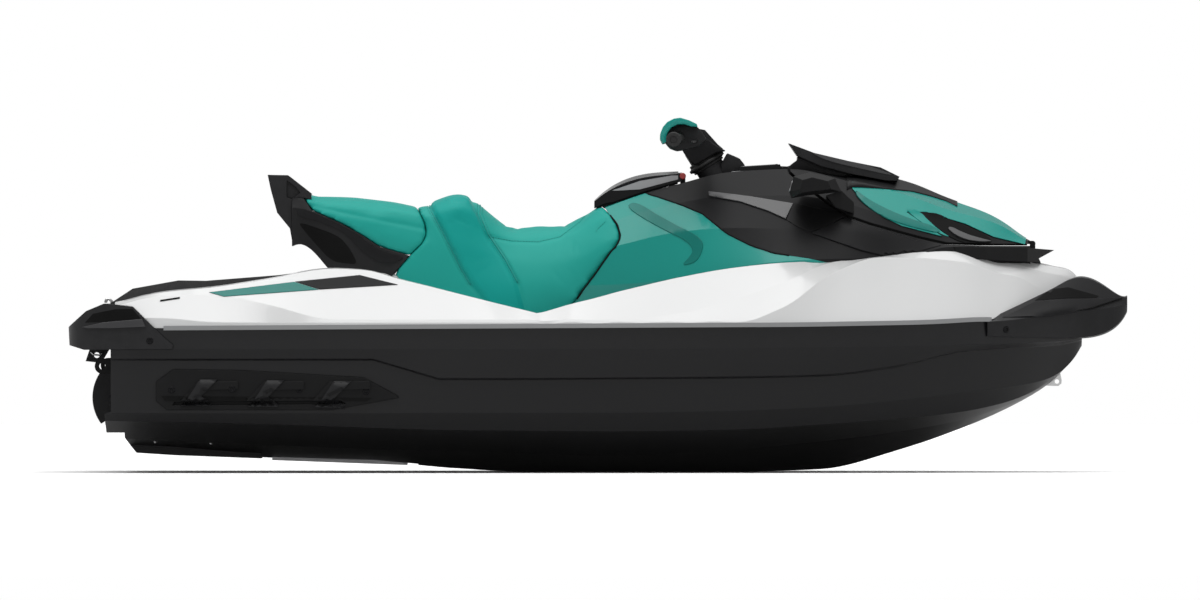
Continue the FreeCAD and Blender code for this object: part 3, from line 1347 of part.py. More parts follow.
def bucket_shape():
    """The reversing scoop: part of a drum about its pivot, with two side plates."""
    outer = size("bucket_radius")
    inner_half = size("bucket_inner_half")
    full_half = inner_half + size("bucket_arm_thick")
    centre = FreeCAD.Vector(bucket_pivot_x, 0, pump_axis_height)
    low = size("bucket_low_angle")
    high = size("bucket_high_angle")
    steps = int(size("bucket_rays"))
    way = FreeCAD.Vector(0, 1, 0)
    drum = Part.makeCylinder(outer, 2 * full_half, centre - way * full_half, way)
    core = Part.makeCylinder(outer - size("bucket_wall"), 2 * inner_half, centre - way * inner_half, way)
    rays = []
    for index in range(steps + 1):
        turn = math.radians(low + (high - low) * index / steps)
        rays.append(centre + FreeCAD.Vector(-math.cos(turn), 0, math.sin(turn)) * (2 * outer))
    wedge_points = [centre - way * (2 * outer)] + [ray - way * (2 * outer) for ray in rays]
    wedge = Part.Face(Part.makePolygon(wedge_points + wedge_points[:1])).extrude(way * (4 * outer))
    scoop = drum.cut(core).common(wedge)
    eye_radius = size("bucket_eye_radius")
    bore = Part.makeCylinder(size("hinge_pin_radius") + size("pin_gap"), 4 * outer, centre - way * (2 * outer), way)
    eyes = []
    for side in (1, -1):
        eyes.append(Part.makeCylinder(eye_radius, size("bucket_arm_thick"), centre + way * (side * inner_half),
                                      way * side))
    return scoop.multiFuse(eyes).cut(bore)


bucket = feature("reverse_bucket", bucket_shape())

# Ride plate under the pump, and the grate over the intake

plate_top_shares = [(0.056, 0.090), (0.098, 0.080), (0.180, 0.068)]
plate_bottom_shares = [(0.180, 0.039), (0.098, 0.048), (0.062, 0.055), (0.056, 0.077)]
ride_plate = new_body("ride_plate")
plate_sketch = sketch_on(ride_plate, "plate_outline", "XZ_Plane")
draw_polygon(plate_sketch, side_corners(plate_top_shares + plate_bottom_shares))
pad(ride_plate, "plate_pad", plate_sketch, total(("tunnel_half", 2)), midplane=True)

grate_top_shares = [(0.190, 0.050), (0.318, 0.036)]
grate = new_body("intake_grate")
bar_sketch = sketch_on(grate, "bar_outline", "XZ_Plane")
bar_corners = side_corners(grate_top_shares)
under = [(x, (z[0] - size("grate_bar_tall"), z[1] + " - sizes.grate_bar_tall")) for x, z in bar_corners[::-1]]
draw_polygon(bar_sketch, bar_corners + under)
pad(grate, "grate_slab", bar_sketch, total(("grate_half", 2)), midplane=True)
slot_sketch = sketch_on(grate, "slot_outline", "XY_Plane")
slot_count = int(size("grate_bar_count")) + 1
slot_end_shares = (0.200, 0.308)
for index in range(slot_count):
    low_edge = total(("grate_half", -1 + 2 * index / slot_count), ("grate_bar", 1))
    high_edge = total(("grate_half", -1 + 2 * (index + 1) / slot_count), ("grate_bar", -0.5))
    near, far = [along(share) for share in slot_end_shares]
    draw_polygon(slot_sketch, [(near, low_edge), (far, low_edge), (far, high_edge), (near, high_edge)])
through_pocket(grate, "grate_slots", slot_sketch)

# Sponsons: a boat-shaped pad in each recess, with slots and raised slanted struts

sponson = new_body("sponson_starboard")
sponson_sketch = sketch_on(sponson, "sponson_outline", "XZ_Plane", total(("sponson_floor_half", 1)))
draw_polygon(sponson_sketch, side_corners(sponson_shares))
pad(sponson, "sponson_pad", sponson_sketch, total(("sponson_face_half", 1), ("sponson_floor_half", -1)))
strut_shares = [(0.106, 0.203), (0.118, 0.203), (0.128, 0.232), (0.160, 0.236), (0.160, 0.258),
                (0.122, 0.256)]
strut_step_share = 0.062
strut_count = 3
strut_sketch = sketch_on(sponson, "strut_outline", "XZ_Plane", total(("sponson_face_half", 1)))
for index in range(strut_count):
    step = strut_step_share * index
    draw_polygon(strut_sketch, side_corners([(share + step, up) for share, up in strut_shares]))
pad(sponson, "strut_pads", strut_sketch, total(("strut_proud", 1)))
slot_shares = [(0.098, 0.190), (0.262, 0.194), (0.256, 0.204), (0.100, 0.200)]
slot_line = sketch_on(sponson, "slot_line", "XZ_Plane", total(("sponson_face_half", 1)))
draw_polygon(slot_line, side_corners(slot_shares))
doc.recompute()
slot_pocket = sponson.newObject("PartDesign::Pocket", "slot_pocket")
slot_pocket.Profile = slot_line
slot_pocket.setExpression("Length", "sizes.slot_deep")
sponson_port = mirrored("sponson_port", sponson)

# Deck gear: platform mat, footwell mats, eyes, tow hook and drain plugs

platform_shares = [(0.039, 0.477), (0.060, 0.518), (0.103, 0.541), (0.129, 0.540), (0.197, 0.556),
                   (0.240, 0.571), (0.240, 0.528), (0.169, 0.497), (0.039, 0.452)]
platform_plan_shares = [(0.039, 0.690), (0.060, 0.720), (0.150, 0.680), (0.205, 0.560), (0.240, 0.400)]


def platform_shape():
    """The boarding platform's raised deck mat, narrowing towards the seat."""
    slab = side_slab(platform_shares, -side_reach, side_reach)
    return slab.common(plan_slab(platform_plan_shares, 0, height))


platform_form = feature("platform_form", platform_shape())
platform_tools = fuse("platform_tools", [deck_form, stern_bumper, seat_form, handle_form])
platform_mat = cut("platform_mat", platform_form, platform_tools)

floor_fore_shares = [(0.441, 0.428, 0.785, 0.353), (0.486, 0.434, 0.780, 0.353),
                     (0.538, 0.462, 0.750, 0.356), (0.586, 0.495, 0.705, 0.364), (0.633, 0.527, 0.652, 0.387)]


def mat_shape(floor_shares):
    """A thin mat on a starboard footwell floor, sunk a little for the deck to trim."""
    thick = size("mat_thick")
    wires = []
    for along_share, inner_share, outer_share, floor_share in floor_shares:
        low_inner = spot(along_share, floor_share, -inner_share * half_beam)
        low_outer = spot(along_share, floor_share, -outer_share * half_beam)
        down = FreeCAD.Vector(0, 0, -thick)
        rise = FreeCAD.Vector(0, 0, thick)
        corners = [low_inner + down, low_outer + down, low_outer + rise, low_inner + rise]
        wires.append(Part.makePolygon(corners + corners[:1]))
    return Part.makeLoft(wires, True, False, False)


mat_form = feature("mat_form", mat_shape(floor_fore_shares))
floor_lifted = skin(fore_deck_shares)
floor_lifted.translate(FreeCAD.Vector(0, 0, size("seat_gap")))
mat_starboard = cut("mat_starboard", mat_form, feature("floor_lifted", floor_lifted))
footwell_mats = pair("footwell_mats", mat_starboard)

bow_eye_shares = [(0.9230, 0.2440), (0.9300, 0.2430), (0.9350, 0.2430), (0.9378, 0.2500), (0.9380, 0.2600),
                  (0.9365, 0.2830), (0.9300, 0.2850), (0.9210, 0.2620)]
eye_centre_shares = (0.9336, 0.2556)
bow_eye_body = new_body("bow_eye_plate")
eye_sketch = sketch_on(bow_eye_body, "eye_outline", "XZ_Plane")
draw_polygon(eye_sketch, side_corners(bow_eye_shares))
pad(bow_eye_body, "eye_pad", eye_sketch, total(("bow_eye_half", 2)), midplane=True)
eye_hole = sketch_on(bow_eye_body, "eye_hole", "XZ_Plane")
draw_circle(eye_hole, along(eye_centre_shares[0]), total(("height", eye_centre_shares[1])),
            total(("bow_eye_bore", 1)))
through_pocket(bow_eye_body, "eye_pocket", eye_hole)
bow_eye = cut("bow_eye", bow_eye_body, hull_under)

hook_shares = [(0.017, 0.349), (0.036, 0.349), (0.028, 0.308), (0.013, 0.313)]
hook_centre_shares = (0.0236, 0.330)
tow_hook_body = new_body("tow_hook_plate")
hook_sketch = sketch_on(tow_hook_body, "hook_outline", "XZ_Plane")
draw_polygon(hook_sketch, side_corners(hook_shares))
pad(tow_hook_body, "hook_pad", hook_sketch, total(("hook_half", 2)), midplane=True)
hook_hole = sketch_on(tow_hook_body, "hook_hole", "XZ_Plane")
draw_circle(hook_hole, along(hook_centre_shares[0]), total(("height", hook_centre_shares[1])),
            total(("hook_bore", 1)))
through_pocket(tow_hook_body, "hook_pocket", hook_hole)
tow_hook = cut("tow_hook", tow_hook_body, stern_bumper)

transom_share = 0.040
stern_eye_height_share = 0.300


def stern_eye_shape():
    """A rounded plate with a hole, standing off the transom to starboard."""
    reach = size("stern_eye_reach")
    radius = size("stern_eye_radius")
    half = size("stern_eye_half")
    root = spot(transom_share, stern_eye_height_share, -size("stern_eye_across"))
    centre = root - FreeCAD.Vector(reach, half, 0)
    way = FreeCAD.Vector(0, 1, 0)
    ring = Part.makeCylinder(radius, 2 * half, centre, way)
    tongue = Part.makeBox(reach, 2 * half, 2 * radius, centre - FreeCAD.Vector(0, 0, radius))
    hole = Part.makeCylinder(size("stern_eye_bore"), 2 * half, centre, way)
    return ring.fuse(tongue).cut(hole).removeSplitter()


stern_eyes = pair("stern_eyes", feature("stern_eye_starboard", stern_eye_shape()))

plug_up_share = 0.205
drain_plug = cylinder(
    "drain_plug_starboard",
    axis=(-1, 0, 0),
    Radius=total(("plug_radius", 1)),
    Height=total(("plug_proud", 1)),
    place_x=along(transom_share),
    place_y=total(("plug_across", -1)),
    place_z=total(("height", plug_up_share)),
)
drain_plugs = pair("drain_plugs", drain_plug)

doc.recompute()

NODES = {
    "hull": hull, "deck": deck, "stern_bumper": stern_bumper, "bow_bumper": bow_bumper,
    "rub_rail": rub_rail, "sponson_starboard": sponson, "sponson_port": sponson_port,
    "engine": engine, "seat_front": seat_front, "seat_rear": seat_rear, "seat_tail": seat_tail,
    "grab_handle": grab_handle, "knee_panel": knee_panel, "console": console,
    "steering_socket": steering_socket, "instrument": instrument, "nose_trim": nose_trim,
    "platform_mat": platform_mat, "footwell_mats": footwell_mats, "bow_eye": bow_eye,
    "tow_hook": tow_hook, "stern_eyes": stern_eyes, "drain_plugs": drain_plugs,
    "pump_housing": pump_housing, "ride_plate": ride_plate, "intake_grate": grate,
    "impeller": impeller, "steering_nozzle": nozzle, "reverse_bucket": bucket,
    "hood_shell": hood_shell, "hood_insert": hood_insert, "visor": visor,
    "mirror_housings": mirror_housings, "mirror_glasses": mirror_glasses,
    "glovebox_lid": glovebox_lid, "lid_hinge": lid_hinge,
    "steering_riser": riser, "steering_column": steering_column, "handlebar": handlebar,
    "grips": grips, "switch_pods": switch_pods, "levers": levers, "palm_rests": palm_rests,
}

failed = [item.Label for item in doc.Objects if "Invalid" in item.State or "Error" in item.State]
if failed:
    raise RuntimeError("failed objects: " + ", ".join(failed))
for name, item in NODES.items():
    if item.Shape.isNull() or not item.Shape.isValid():
        raise RuntimeError("bad shape: " + name)

os.makedirs("parts", exist_ok=True)
for name, item in NODES.items():
    item.Shape.exportStep(os.path.join("parts", name + ".step"))
    box_of = item.Shape.BoundBox
    print("%-20s solids %d  x %.0f %.0f  y %.0f %.0f  z %.0f %.0f" % (
        name, len(item.Shape.Solids), box_of.XMin, box_of.XMax, box_of.YMin, box_of.YMax,
        box_of.ZMin, box_of.ZMax))
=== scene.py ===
"""Looks of a sit-down personal watercraft, built around its packed construction model."""

import math

import bmesh
import bpy
import numpy
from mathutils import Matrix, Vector, geometry
from mathutils.bvhtree import BVHTree


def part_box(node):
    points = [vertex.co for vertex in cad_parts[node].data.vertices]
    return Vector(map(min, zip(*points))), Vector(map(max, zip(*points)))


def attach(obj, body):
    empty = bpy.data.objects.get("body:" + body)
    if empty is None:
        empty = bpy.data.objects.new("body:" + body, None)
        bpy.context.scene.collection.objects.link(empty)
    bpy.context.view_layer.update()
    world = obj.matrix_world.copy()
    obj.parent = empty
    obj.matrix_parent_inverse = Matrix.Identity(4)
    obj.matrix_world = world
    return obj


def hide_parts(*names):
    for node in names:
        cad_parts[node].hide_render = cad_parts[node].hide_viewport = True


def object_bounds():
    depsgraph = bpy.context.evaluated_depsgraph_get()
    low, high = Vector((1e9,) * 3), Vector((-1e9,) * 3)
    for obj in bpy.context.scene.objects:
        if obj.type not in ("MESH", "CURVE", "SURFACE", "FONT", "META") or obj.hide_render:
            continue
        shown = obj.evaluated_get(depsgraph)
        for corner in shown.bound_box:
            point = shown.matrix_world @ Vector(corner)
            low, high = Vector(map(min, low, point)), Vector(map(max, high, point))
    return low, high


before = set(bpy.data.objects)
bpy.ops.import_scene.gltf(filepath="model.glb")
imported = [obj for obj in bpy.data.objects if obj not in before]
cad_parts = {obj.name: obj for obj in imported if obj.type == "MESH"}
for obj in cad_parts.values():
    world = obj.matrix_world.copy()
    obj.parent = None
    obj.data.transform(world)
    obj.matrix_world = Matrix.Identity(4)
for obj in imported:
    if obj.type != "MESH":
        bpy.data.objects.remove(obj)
CAD_LOW, CAD_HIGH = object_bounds()

bl_info = {
    "name": "Personal watercraft looks",
    "version": (1, 0, 0),
    "blender": (4, 5, 0),
    "location": "View3D > Sidebar > Watercraft",
    "description": "Finishes, seat, trim and studio for a personal watercraft",
    "category": "Object",
}

LENGTH = CAD_HIGH.x - CAD_LOW.x
HEIGHT = CAD_HIGH.z - CAD_LOW.z

# The photograph's own frame: the craft's stern, bow, floor and top line, in pixels
STERN_PX, BOW_PX = 72, 1127
FLOOR_PX, TOP_PX = 472, 118
FRAME_WIDE_PX, FRAME_TALL_PX = 1200, 600
METRES_PER_PX = LENGTH / (BOW_PX - STERN_PX)

# Edges sharper than this stay hard
CREASE = math.radians(38)

# Thin panels: the size of their mesh, and how far their rims go into what carries them
PANEL_STEP = 0.012
PANEL_SKIRT = 0.003
THIN_SKIRT = 0.002
CREST_ROWS = 40

# Where rays from the side and from above start, and a distance past the whole craft
BESIDE, ABOVE, FAR = 2.0, 3.0, 9.0

# Where the nearest surface is looked for if such a ray meets none
MID_FLANK, MID_TOP = -0.25, 0.8

# Triangulation: only inside the outline, and how near points are taken as one
CDT_INSIDE, CDT_MERGE = 1, 1e-6

# Where a corner's sides are cut to round it, and the steps of a slab's rounded edge
CORNER_CUTS = (0.25, 0.75)
BEVEL_SEGMENTS = 3

# Screw heads: distances along the axis and shares of the radius
SCREW_PROFILE = ((-0.002, 1.0), (0.0015, 1.0), (0.003, 0.78), (0.003, 0.46), (0.0008, 0.42))
SCREW_SIDES = 18


def seen(px, py, across=0.0):
    """The point of the craft that the photograph shows at a pixel, at a distance across."""
    along = CAD_LOW.x + (px - STERN_PX) * METRES_PER_PX
    up = CAD_LOW.z + (FLOOR_PX - py) * HEIGHT / (FLOOR_PX - TOP_PX)
    return Vector((along, across, up))


class CraftColours(bpy.types.PropertyGroup):
    """Colours of the craft's finishes."""

    teal: bpy.props.FloatVectorProperty(
        name="Teal panels", description="Gloss colour of the knee panel and the hood's insert",
        subtype="COLOR", size=3, min=0, max=1, default=(0.010, 0.330, 0.280))
    vinyl: bpy.props.FloatVectorProperty(
        name="Seat vinyl", description="Colour of the seat's main cover",
        subtype="COLOR", size=3, min=0, max=1, default=(0.014, 0.390, 0.330))
    vinyl_dark: bpy.props.FloatVectorProperty(
        name="Bolster vinyl", description="Colour of the seat's darker panel",
        subtype="COLOR", size=3, min=0, max=1, default=(0.003, 0.370, 0.325))
    white: bpy.props.FloatVectorProperty(
        name="Deck white", description="Colour of the deck's gelcoat",
        subtype="COLOR", size=3, min=0, max=1, default=(0.800, 0.805, 0.805))
    black: bpy.props.FloatVectorProperty(
        name="Hull black", description="Colour of the hull's gelcoat",
        subtype="COLOR", size=3, min=0, max=1, default=(0.010, 0.010, 0.011))
    moulding: bpy.props.FloatVectorProperty(
        name="Moulding black", description="Colour of the satin plastic mouldings",
        subtype="COLOR", size=3, min=0, max=1, default=(0.016, 0.016, 0.017))
    rail: bpy.props.FloatVectorProperty(
        name="Rub strip", description="Colour of the rub strip along the sheer",
        subtype="COLOR", size=3, min=0, max=1, default=(0.300, 0.305, 0.310))


class CraftStudio(bpy.types.PropertyGroup):
    """Camera, lamps and floor."""

    camera_away: bpy.props.FloatProperty(
        name="Camera distance", description="From the craft's middle plane to the camera",
        unit="LENGTH", default=80.0, min=5.0)
    floor_wide: bpy.props.FloatProperty(
        name="Floor size", description="Length of the floor's sides", unit="LENGTH", default=60.0)
    top_strength: bpy.props.FloatProperty(
        name="Top lamp", description="Strength of the soft lamp overhead", default=0.90, min=0.0)
    top_spread: bpy.props.FloatProperty(
        name="Top lamp spread", description="Angle that the lamp overhead takes up", subtype="ANGLE",
        default=math.radians(50), min=0.0, max=math.pi)
    world_level: bpy.props.FloatProperty(
        name="World level", description="Strength of the pale surroundings", default=0.78, min=0.0)


# Small builders shared by the pieces


def mesh_object(name, vertices, faces, smooth=True):
    """A mesh object in the craft's own frame."""
    mesh = bpy.data.meshes.new(name)
    mesh.from_pydata([tuple(vertex) for vertex in vertices], [], faces)
    mesh.validate()
    mesh.update()
    mesh.polygons.foreach_set("use_smooth", [smooth] * len(mesh.polygons))
    made = bpy.data.objects.new(name, mesh)
    bpy.context.scene.collection.objects.link(made)
    return made


def creased(name, vertices, faces):
    """A smooth mesh object whose sharp edges stay hard."""
    made = mesh_object(name, vertices, faces)
    made.data.set_sharp_from_angle(angle=CREASE)
    return made


def node(name):
    """A construction piece by its name."""
    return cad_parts[name]


def dress(piece, body, finish_name):
    """Gives a piece its finish and body."""
    piece.data.materials.clear()
    piece.data.materials.append(finish(finish_name))
    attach(piece, body)
    return piece


def surface_of(*pieces):
    """One search tree over the surfaces of several pieces, given as objects or by their names."""
    vertices, faces = [], []
    for piece in pieces:
        mesh = (node(piece) if isinstance(piece, str) else piece).data
        first = len(vertices)
        vertices += [vertex.co.copy() for vertex in mesh.vertices]
        faces += [[first + index for index in face.vertices] for face in mesh.polygons]
    return BVHTree.FromPolygons(vertices, faces)


def flank(outline):
    """Pixels of the side view as flat points: along the craft and up."""
    return [Vector((seen(px, py).x, seen(px, py).z)) for px, py in outline]


def finer(line, step, closed=False):
    """A line with points added, so that no run is longer than a step."""
    ends = line[1:] + (line[:1] if closed else [])
    made = []
    for start, end in zip(line, ends):
        runs = max(1, math.ceil((end - start).length / step))
        made += [start.lerp(end, index / runs) for index in range(runs)]
    return made if closed else made + [line[-1]]


def on_flank(ground, flat, lift=0.0):
    """The starboard surface at a point of the side view, lifted off it; with its normal."""
    start = Vector((flat.x, -BESIDE, flat.y))
    place, normal, _, _ = ground.ray_cast(start, Vector((0, 1, 0)))
    if place is None:
        place, normal, _, _ = ground.find_nearest(Vector((flat.x, MID_FLANK, flat.y)))
    if normal.y > 0:
        normal = -normal
    return place + normal * lift, normal


def on_top(ground, x, y, lift=0.0):
    """The surface as seen from above, lifted off it."""
    place, normal, _, _ = ground.ray_cast(Vector((x, y, ABOVE)), Vector((0, 0, -1)))
    if place is None:
        place, normal, _, _ = ground.find_nearest(Vector((x, y, MID_TOP)))
    if normal.z < 0:
        normal = -normal
    return place + normal * lift


def with_twin(vertices, faces):
    """A starboard shape and its mirror image to port."""
    count = len(vertices)
    twins = [Vector((vertex[0], -vertex[1], vertex[2])) for vertex in vertices]
    backs = [[count + index for index in reversed(face)] for face in faces]
    return list(vertices) + twins, list(faces) + backs


def spread(corners, step):
    """Triangles over a flat outline: points, faces and the outline's own edges."""
    edge = finer(corners, step, closed=True)
    count = len(edge)
    inner = []
    low = Vector((min(point.x for point in edge), min(point.y for point in edge)))
    high = Vector((max(point.x for point in edge), max(point.y for point in edge)))
    for column in range(1, math.ceil((high.x - low.x) / step)):
        for row in range(1, math.ceil((high.y - low.y) / step)):
            shift = 0.5 * (column % 2)
            inner.append(Vector((low.x + column * step, low.y + (row - shift) * step)))
    runs = [(index, (index + 1) % count) for index in range(count)]
    points, _, faces, *_ = geometry.delaunay_2d_cdt(edge + inner, runs, [], CDT_INSIDE, CDT_MERGE)
    kept = sorted({index for face in faces for index in face})
    order = {old: new for new, old in enumerate(kept)}
    faces = [[order[index] for index in face] for face in faces]
    return [points[index] for index in kept], faces


def open_edges(faces):
    """The directed edges that belong to one face only."""
    seen_once = {}
    for face in faces:
        for start, end in zip(face, face[1:] + face[:1]):
            if (end, start) in seen_once:
                del seen_once[(end, start)]
            else:
                seen_once[(start, end)] = True
    return list(seen_once)


def border_path(first, second, guess, reach=0.03, step=0.001, pitch=0.015):
    """Where the flank changes from one piece to another, near a line of the side view."""
    path = []
    ticks = round(reach / step)
    line = finer(flank(guess), pitch)
    for index, flat in enumerate(line):
        run = line[min(index + 1, len(line) - 1)] - line[max(index - 1, 0)]
        aside = Vector((-run.y, run.x)).normalized()
        found, before = None, None
        for tick in range(-ticks, ticks + 1):
            point = flat + aside * (tick * step)
            start = Vector((point.x, -BESIDE, point.y))
            reaches = [tree.ray_cast(start, Vector((0, 1, 0)))[3] or FAR for tree in (first, second)]
            nearer = reaches[0] < reaches[1]
            changed = before is not None and nearer != before
            if changed and (found is None or abs(tick) < abs(found[0])):
                found = (tick, Vector((point.x, min(reaches) - BESIDE, point.y)))
            before = nearer
        if found:
            path.append(found[1])
    return path


def skin_with_skirt(places, normals, faces, lifts, skirt):
    """A skin lifted off a surface, closed down into it round its edge."""
    vertices = [place + normal * lift for place, normal, lift in zip(places, normals, lifts)]
    first = faces[0]
    span = (vertices[first[1]] - vertices[first[0]]).cross(vertices[first[2]] - vertices[first[0]])
    if span.dot(normals[first[0]]) < 0:
        faces = [face[::-1] for face in faces]
    low = {}
    for start, end in open_edges(faces):
        for index in (start, end):
            if index not in low:
                low[index] = len(vertices)
                vertices.append(places[index] - normals[index] * skirt)
        faces = faces + [[start, low[start], low[end], end]]
    return vertices, faces


def raised_skin(places, way, faces, lift):
    """A thin skin lifted off its places along one way."""
    count = len(places)
    return skin_with_skirt(places, [way] * count, faces, [lift] * count, THIN_SKIRT)


def risen(flat, low, high, line):
    """Lifts that grow from low to high between two pixels of the side view."""
    start, end = flank(line)
    run = end - start
    shares = [min(1.0, max(0.0, (point - start).dot(run) / run.length_squared)) for point in flat]
    return [low + (high - low) * share for share in shares]


def softened(line, rounds=2):
    """A closed outline with its corners cut round."""
    for _ in range(rounds):
        runs = zip(line, line[1:] + line[:1])
        line = [start.lerp(end, share) for start, end in runs for share in CORNER_CUTS]
    return line


def inlay(name, outline, ground, lift, skirt=PANEL_SKIRT, tilt=None, soft=False):
    """A thin raised panel on both flanks, drawn in the side view; tilt makes it a facet."""
    corners = flank(outline)
    flat, faces = spread(softened(corners) if soft else corners, PANEL_STEP)
    places, normals = zip(*(on_flank(ground, point) for point in flat))
    lifts = risen(flat, lift, *tilt) if tilt else [lift] * len(flat)
    return creased(name, *with_twin(*skin_with_skirt(places, normals, faces, lifts, skirt)))


def crest_band(name, edge_line, ground, lift):
    """A skin over the top of the craft, between a line of the side view and its twin to port."""
    rows = CREST_ROWS
    places, normals, faces = [], [], []
    run = finer(flank(edge_line), PANEL_STEP)
    for flat in run:
        half = abs(on_flank(ground, flat)[0].y)
        for row in range(rows + 1):
            across = half * (2 * row / rows - 1)
            place = on_top(ground, flat.x, across)
            places.append(place)
            normals.append(ground.find_nearest(place)[1])
    for index in range(len(run) - 1):
        for row in range(rows):
            low, high = index * (rows + 1) + row, (index + 1) * (rows + 1) + row
            faces.append([low, high, high + 1, low + 1])
    normals = [normal if normal.z > 0 else -normal for normal in normals]
    lifts = [lift] * len(places)
    return mesh_object(name, *skin_with_skirt(places, normals, faces, lifts, PANEL_SKIRT))


def slab(name, outline, inner, outer, edge, twin=False):
    """An outline of the side view carried across the craft, with its edges rounded."""
    flat = flank(outline)
    count = len(flat)
    vertices = [Vector((point.x, across, point.y)) for across in (inner, outer) for point in flat]
    faces = [list(range(count)), list(range(count, 2 * count))[::-1]]
    for index in range(count):
        after = (index + 1) % count
        faces.append([index, index + count, after + count, after])
    parts = with_twin(vertices, faces) if twin else (vertices, faces)
    made = mesh_object(name, *parts)
    shape = bmesh.new()
    shape.from_mesh(made.data)
    bmesh.ops.recalc_face_normals(shape, faces=shape.faces)
    bmesh.ops.bevel(shape, geom=shape.edges[:], offset=edge, segments=BEVEL_SEGMENTS, profile=0.5,
                    affect="EDGES", clamp_overlap=True)
    shape.to_mesh(made.data)
    shape.free()
    made.data.polygons.foreach_set("use_smooth", [True] * len(made.data.polygons))
    made.data.set_sharp_from_angle(angle=CREASE)
    return made


def screw_heads(spots, ground, radius):
    """Round socket screws set in both flanks at pixels of the side view."""
    profile = [(far, share * radius) for far, share in SCREW_PROFILE]
    parts = []
    for flat in flank(spots):
        place, normal = on_flank(ground, flat)
        parts.append(lathe_parts(profile, place, normal, sides=SCREW_SIDES))
    return with_twin(*joined(parts))


def circle(centre, side_way, up_way, radius, sides):
    """Points evenly round a centre."""
    angles = [2 * math.pi * turn / sides for turn in range(sides)]
    ways = [side_way * math.cos(angle) + up_way * math.sin(angle) for angle in angles]
    return [centre + way * radius for way in ways]


def ring_faces(rings, sides, closed=False):
    """Faces between rings of points; the ends are capped unless the last ring meets the first."""
    faces = []
    for ring in range(rings if closed else rings - 1):
        low, high = ring * sides, (ring + 1) % rings * sides
        for turn in range(sides):
            after = (turn + 1) % sides
            faces.append([low + turn, low + after, high + after, high + turn])
    if not closed:
        faces += [list(range(sides))[::-1], [(rings - 1) * sides + turn for turn in range(sides)]]
    return faces


def tube_parts(path, radius, sides=8, closed=False):
    """Points and faces of a round bar along a path."""
    count = len(path)
    vertices, side_way = [], None
    for index, point in enumerate(path):
        before = path[index - 1] if index or closed else point
        after = path[(index + 1) % count] if index < count - 1 or closed else point
        forward = (after - before).normalized()
        if side_way is None:
            side_way = forward.orthogonal().normalized()
        side_way = (side_way - forward * side_way.dot(forward)).normalized()
        vertices += circle(point, side_way, forward.cross(side_way), radius, sides)
    return vertices, ring_faces(count, sides, closed)


def lathe_parts(profile, centre, axis, sides=24, closed=False):
    """A turned shape: a profile of distances along an axis and radii, capped or closed to a ring."""
    axis = axis.normalized()
    side_way = axis.orthogonal().normalized()
    up_way = axis.cross(side_way)
    vertices = []
    for far, radius in profile:
        vertices += circle(centre + axis * far, side_way, up_way, radius, sides)
    return vertices, ring_faces(len(profile), sides, closed)


def joined(parts):
    """Several lots of points and faces as one."""
    vertices, faces = [], []
    for more, panels in parts:
        first = len(vertices)
        vertices += list(more)
        faces += [[first + index for index in face] for face in panels]
    return vertices, faces


def mirrored_points(points):
    """The same points to the other side."""
    return [Vector((point.x, -point.y, point.z)) for point in points]


def lip_outline(lid, span, runs):
    """The line under a lid along which its lip hangs, as flat points seen from above."""
    low, high = span
    rim = []
    for index in range(runs + 1):
        x = low + (high - low) * index / runs
        reach = 0.0
        while lid.ray_cast(Vector((x, -reach - LIP_STEP, LIP_BELOW)), Vector((0, 0, 1)))[0]:
            reach += LIP_STEP
        rim.append(Vector((x, LIP_INSET - reach)))
    shares = [1 - index / LIP_END_RUNS for index in range(1, 2 * LIP_END_RUNS)]
    ring = rim + [Vector((rim[-1].x, rim[-1].y * share)) for share in shares]
    ring += [Vector((point.x, -point.y)) for point in reversed(rim)]
    return ring + [Vector((rim[0].x, -rim[0].y * share)) for share in shares]


def lip_parts(lid, ground, span, runs, deepest):
    """A closed lip that hangs from a lid's rim and ends just above what lies under it."""
    ring = lip_outline(lid, span, runs)
    count = len(ring)
    middle = sum(ring, Vector((0, 0))) / count
    vertices, faces = [], []
    for point in ring:
        top = lid.ray_cast(Vector((point.x, point.y, LIP_BELOW)), Vector((0, 0, 1)))[0]
        top = top if top else lid.find_nearest(Vector((point.x, point.y, LIP_NEAR)))[0]
        place, _, _, far = ground.ray_cast(top - Vector((0, 0, LIP_SKIP)), Vector((0, 0, -1)))
        deep = min(deepest, far - SEAL_CLEAR) if place else deepest
        inward = (middle - point).normalized() * LIP_THICK
        still = Vector((0, 0))
        for step, down in ((still, -LIP_SUNK), (still, deep), (inward, deep), (inward, -LIP_SUNK)):
            vertices.append(Vector((point.x + step.x, point.y + step.y, top.z - down)))
    for index in range(count):
        start, nxt = 4 * index, 4 * ((index + 1) % count)
        for side in range(4):
            after = (side + 1) % 4
            faces.append([start + side, nxt + side, nxt + after, start + after])
    return vertices, faces


# Shader nodes

BROAD_SCALE, PATCH_SCALE = 3.0, 40.0
EDGE_START, EDGE_GAIN = 0.52, 12.0
NOISE_MIDDLE, TONE_DRIFT = 0.5, 0.10
BUMP_STRENGTH, BEVEL_SAMPLES = 0.5, 4
MM_PER_METRE = 1000
GROOVE_TURN = math.radians(32)
GROOVE_SCALE, GROOVE_SHARE, GROOVE_HEIGHT, GROOVE_DEPTH = 22.0, 0.12, 3.0, 0.0006
BOLSTER_GAIN = 600.0


def group_tree(name, inputs, outputs):
    """An empty shader group with its sockets, and its input and output nodes."""
    tree = bpy.data.node_groups.new(name, "ShaderNodeTree")
    for label, kind, value in inputs:
        socket = tree.interface.new_socket(label, in_out="INPUT", socket_type=kind)
        socket.default_value = value
    for label, kind in outputs:
        tree.interface.new_socket(label, in_out="OUTPUT", socket_type=kind)
    return tree, tree.nodes.new("NodeGroupInput"), tree.nodes.new("NodeGroupOutput")


def set_inputs(node, values):
    """Sets a shader node's own values."""
    for label, value in values.items():
        node.inputs[label].default_value = value


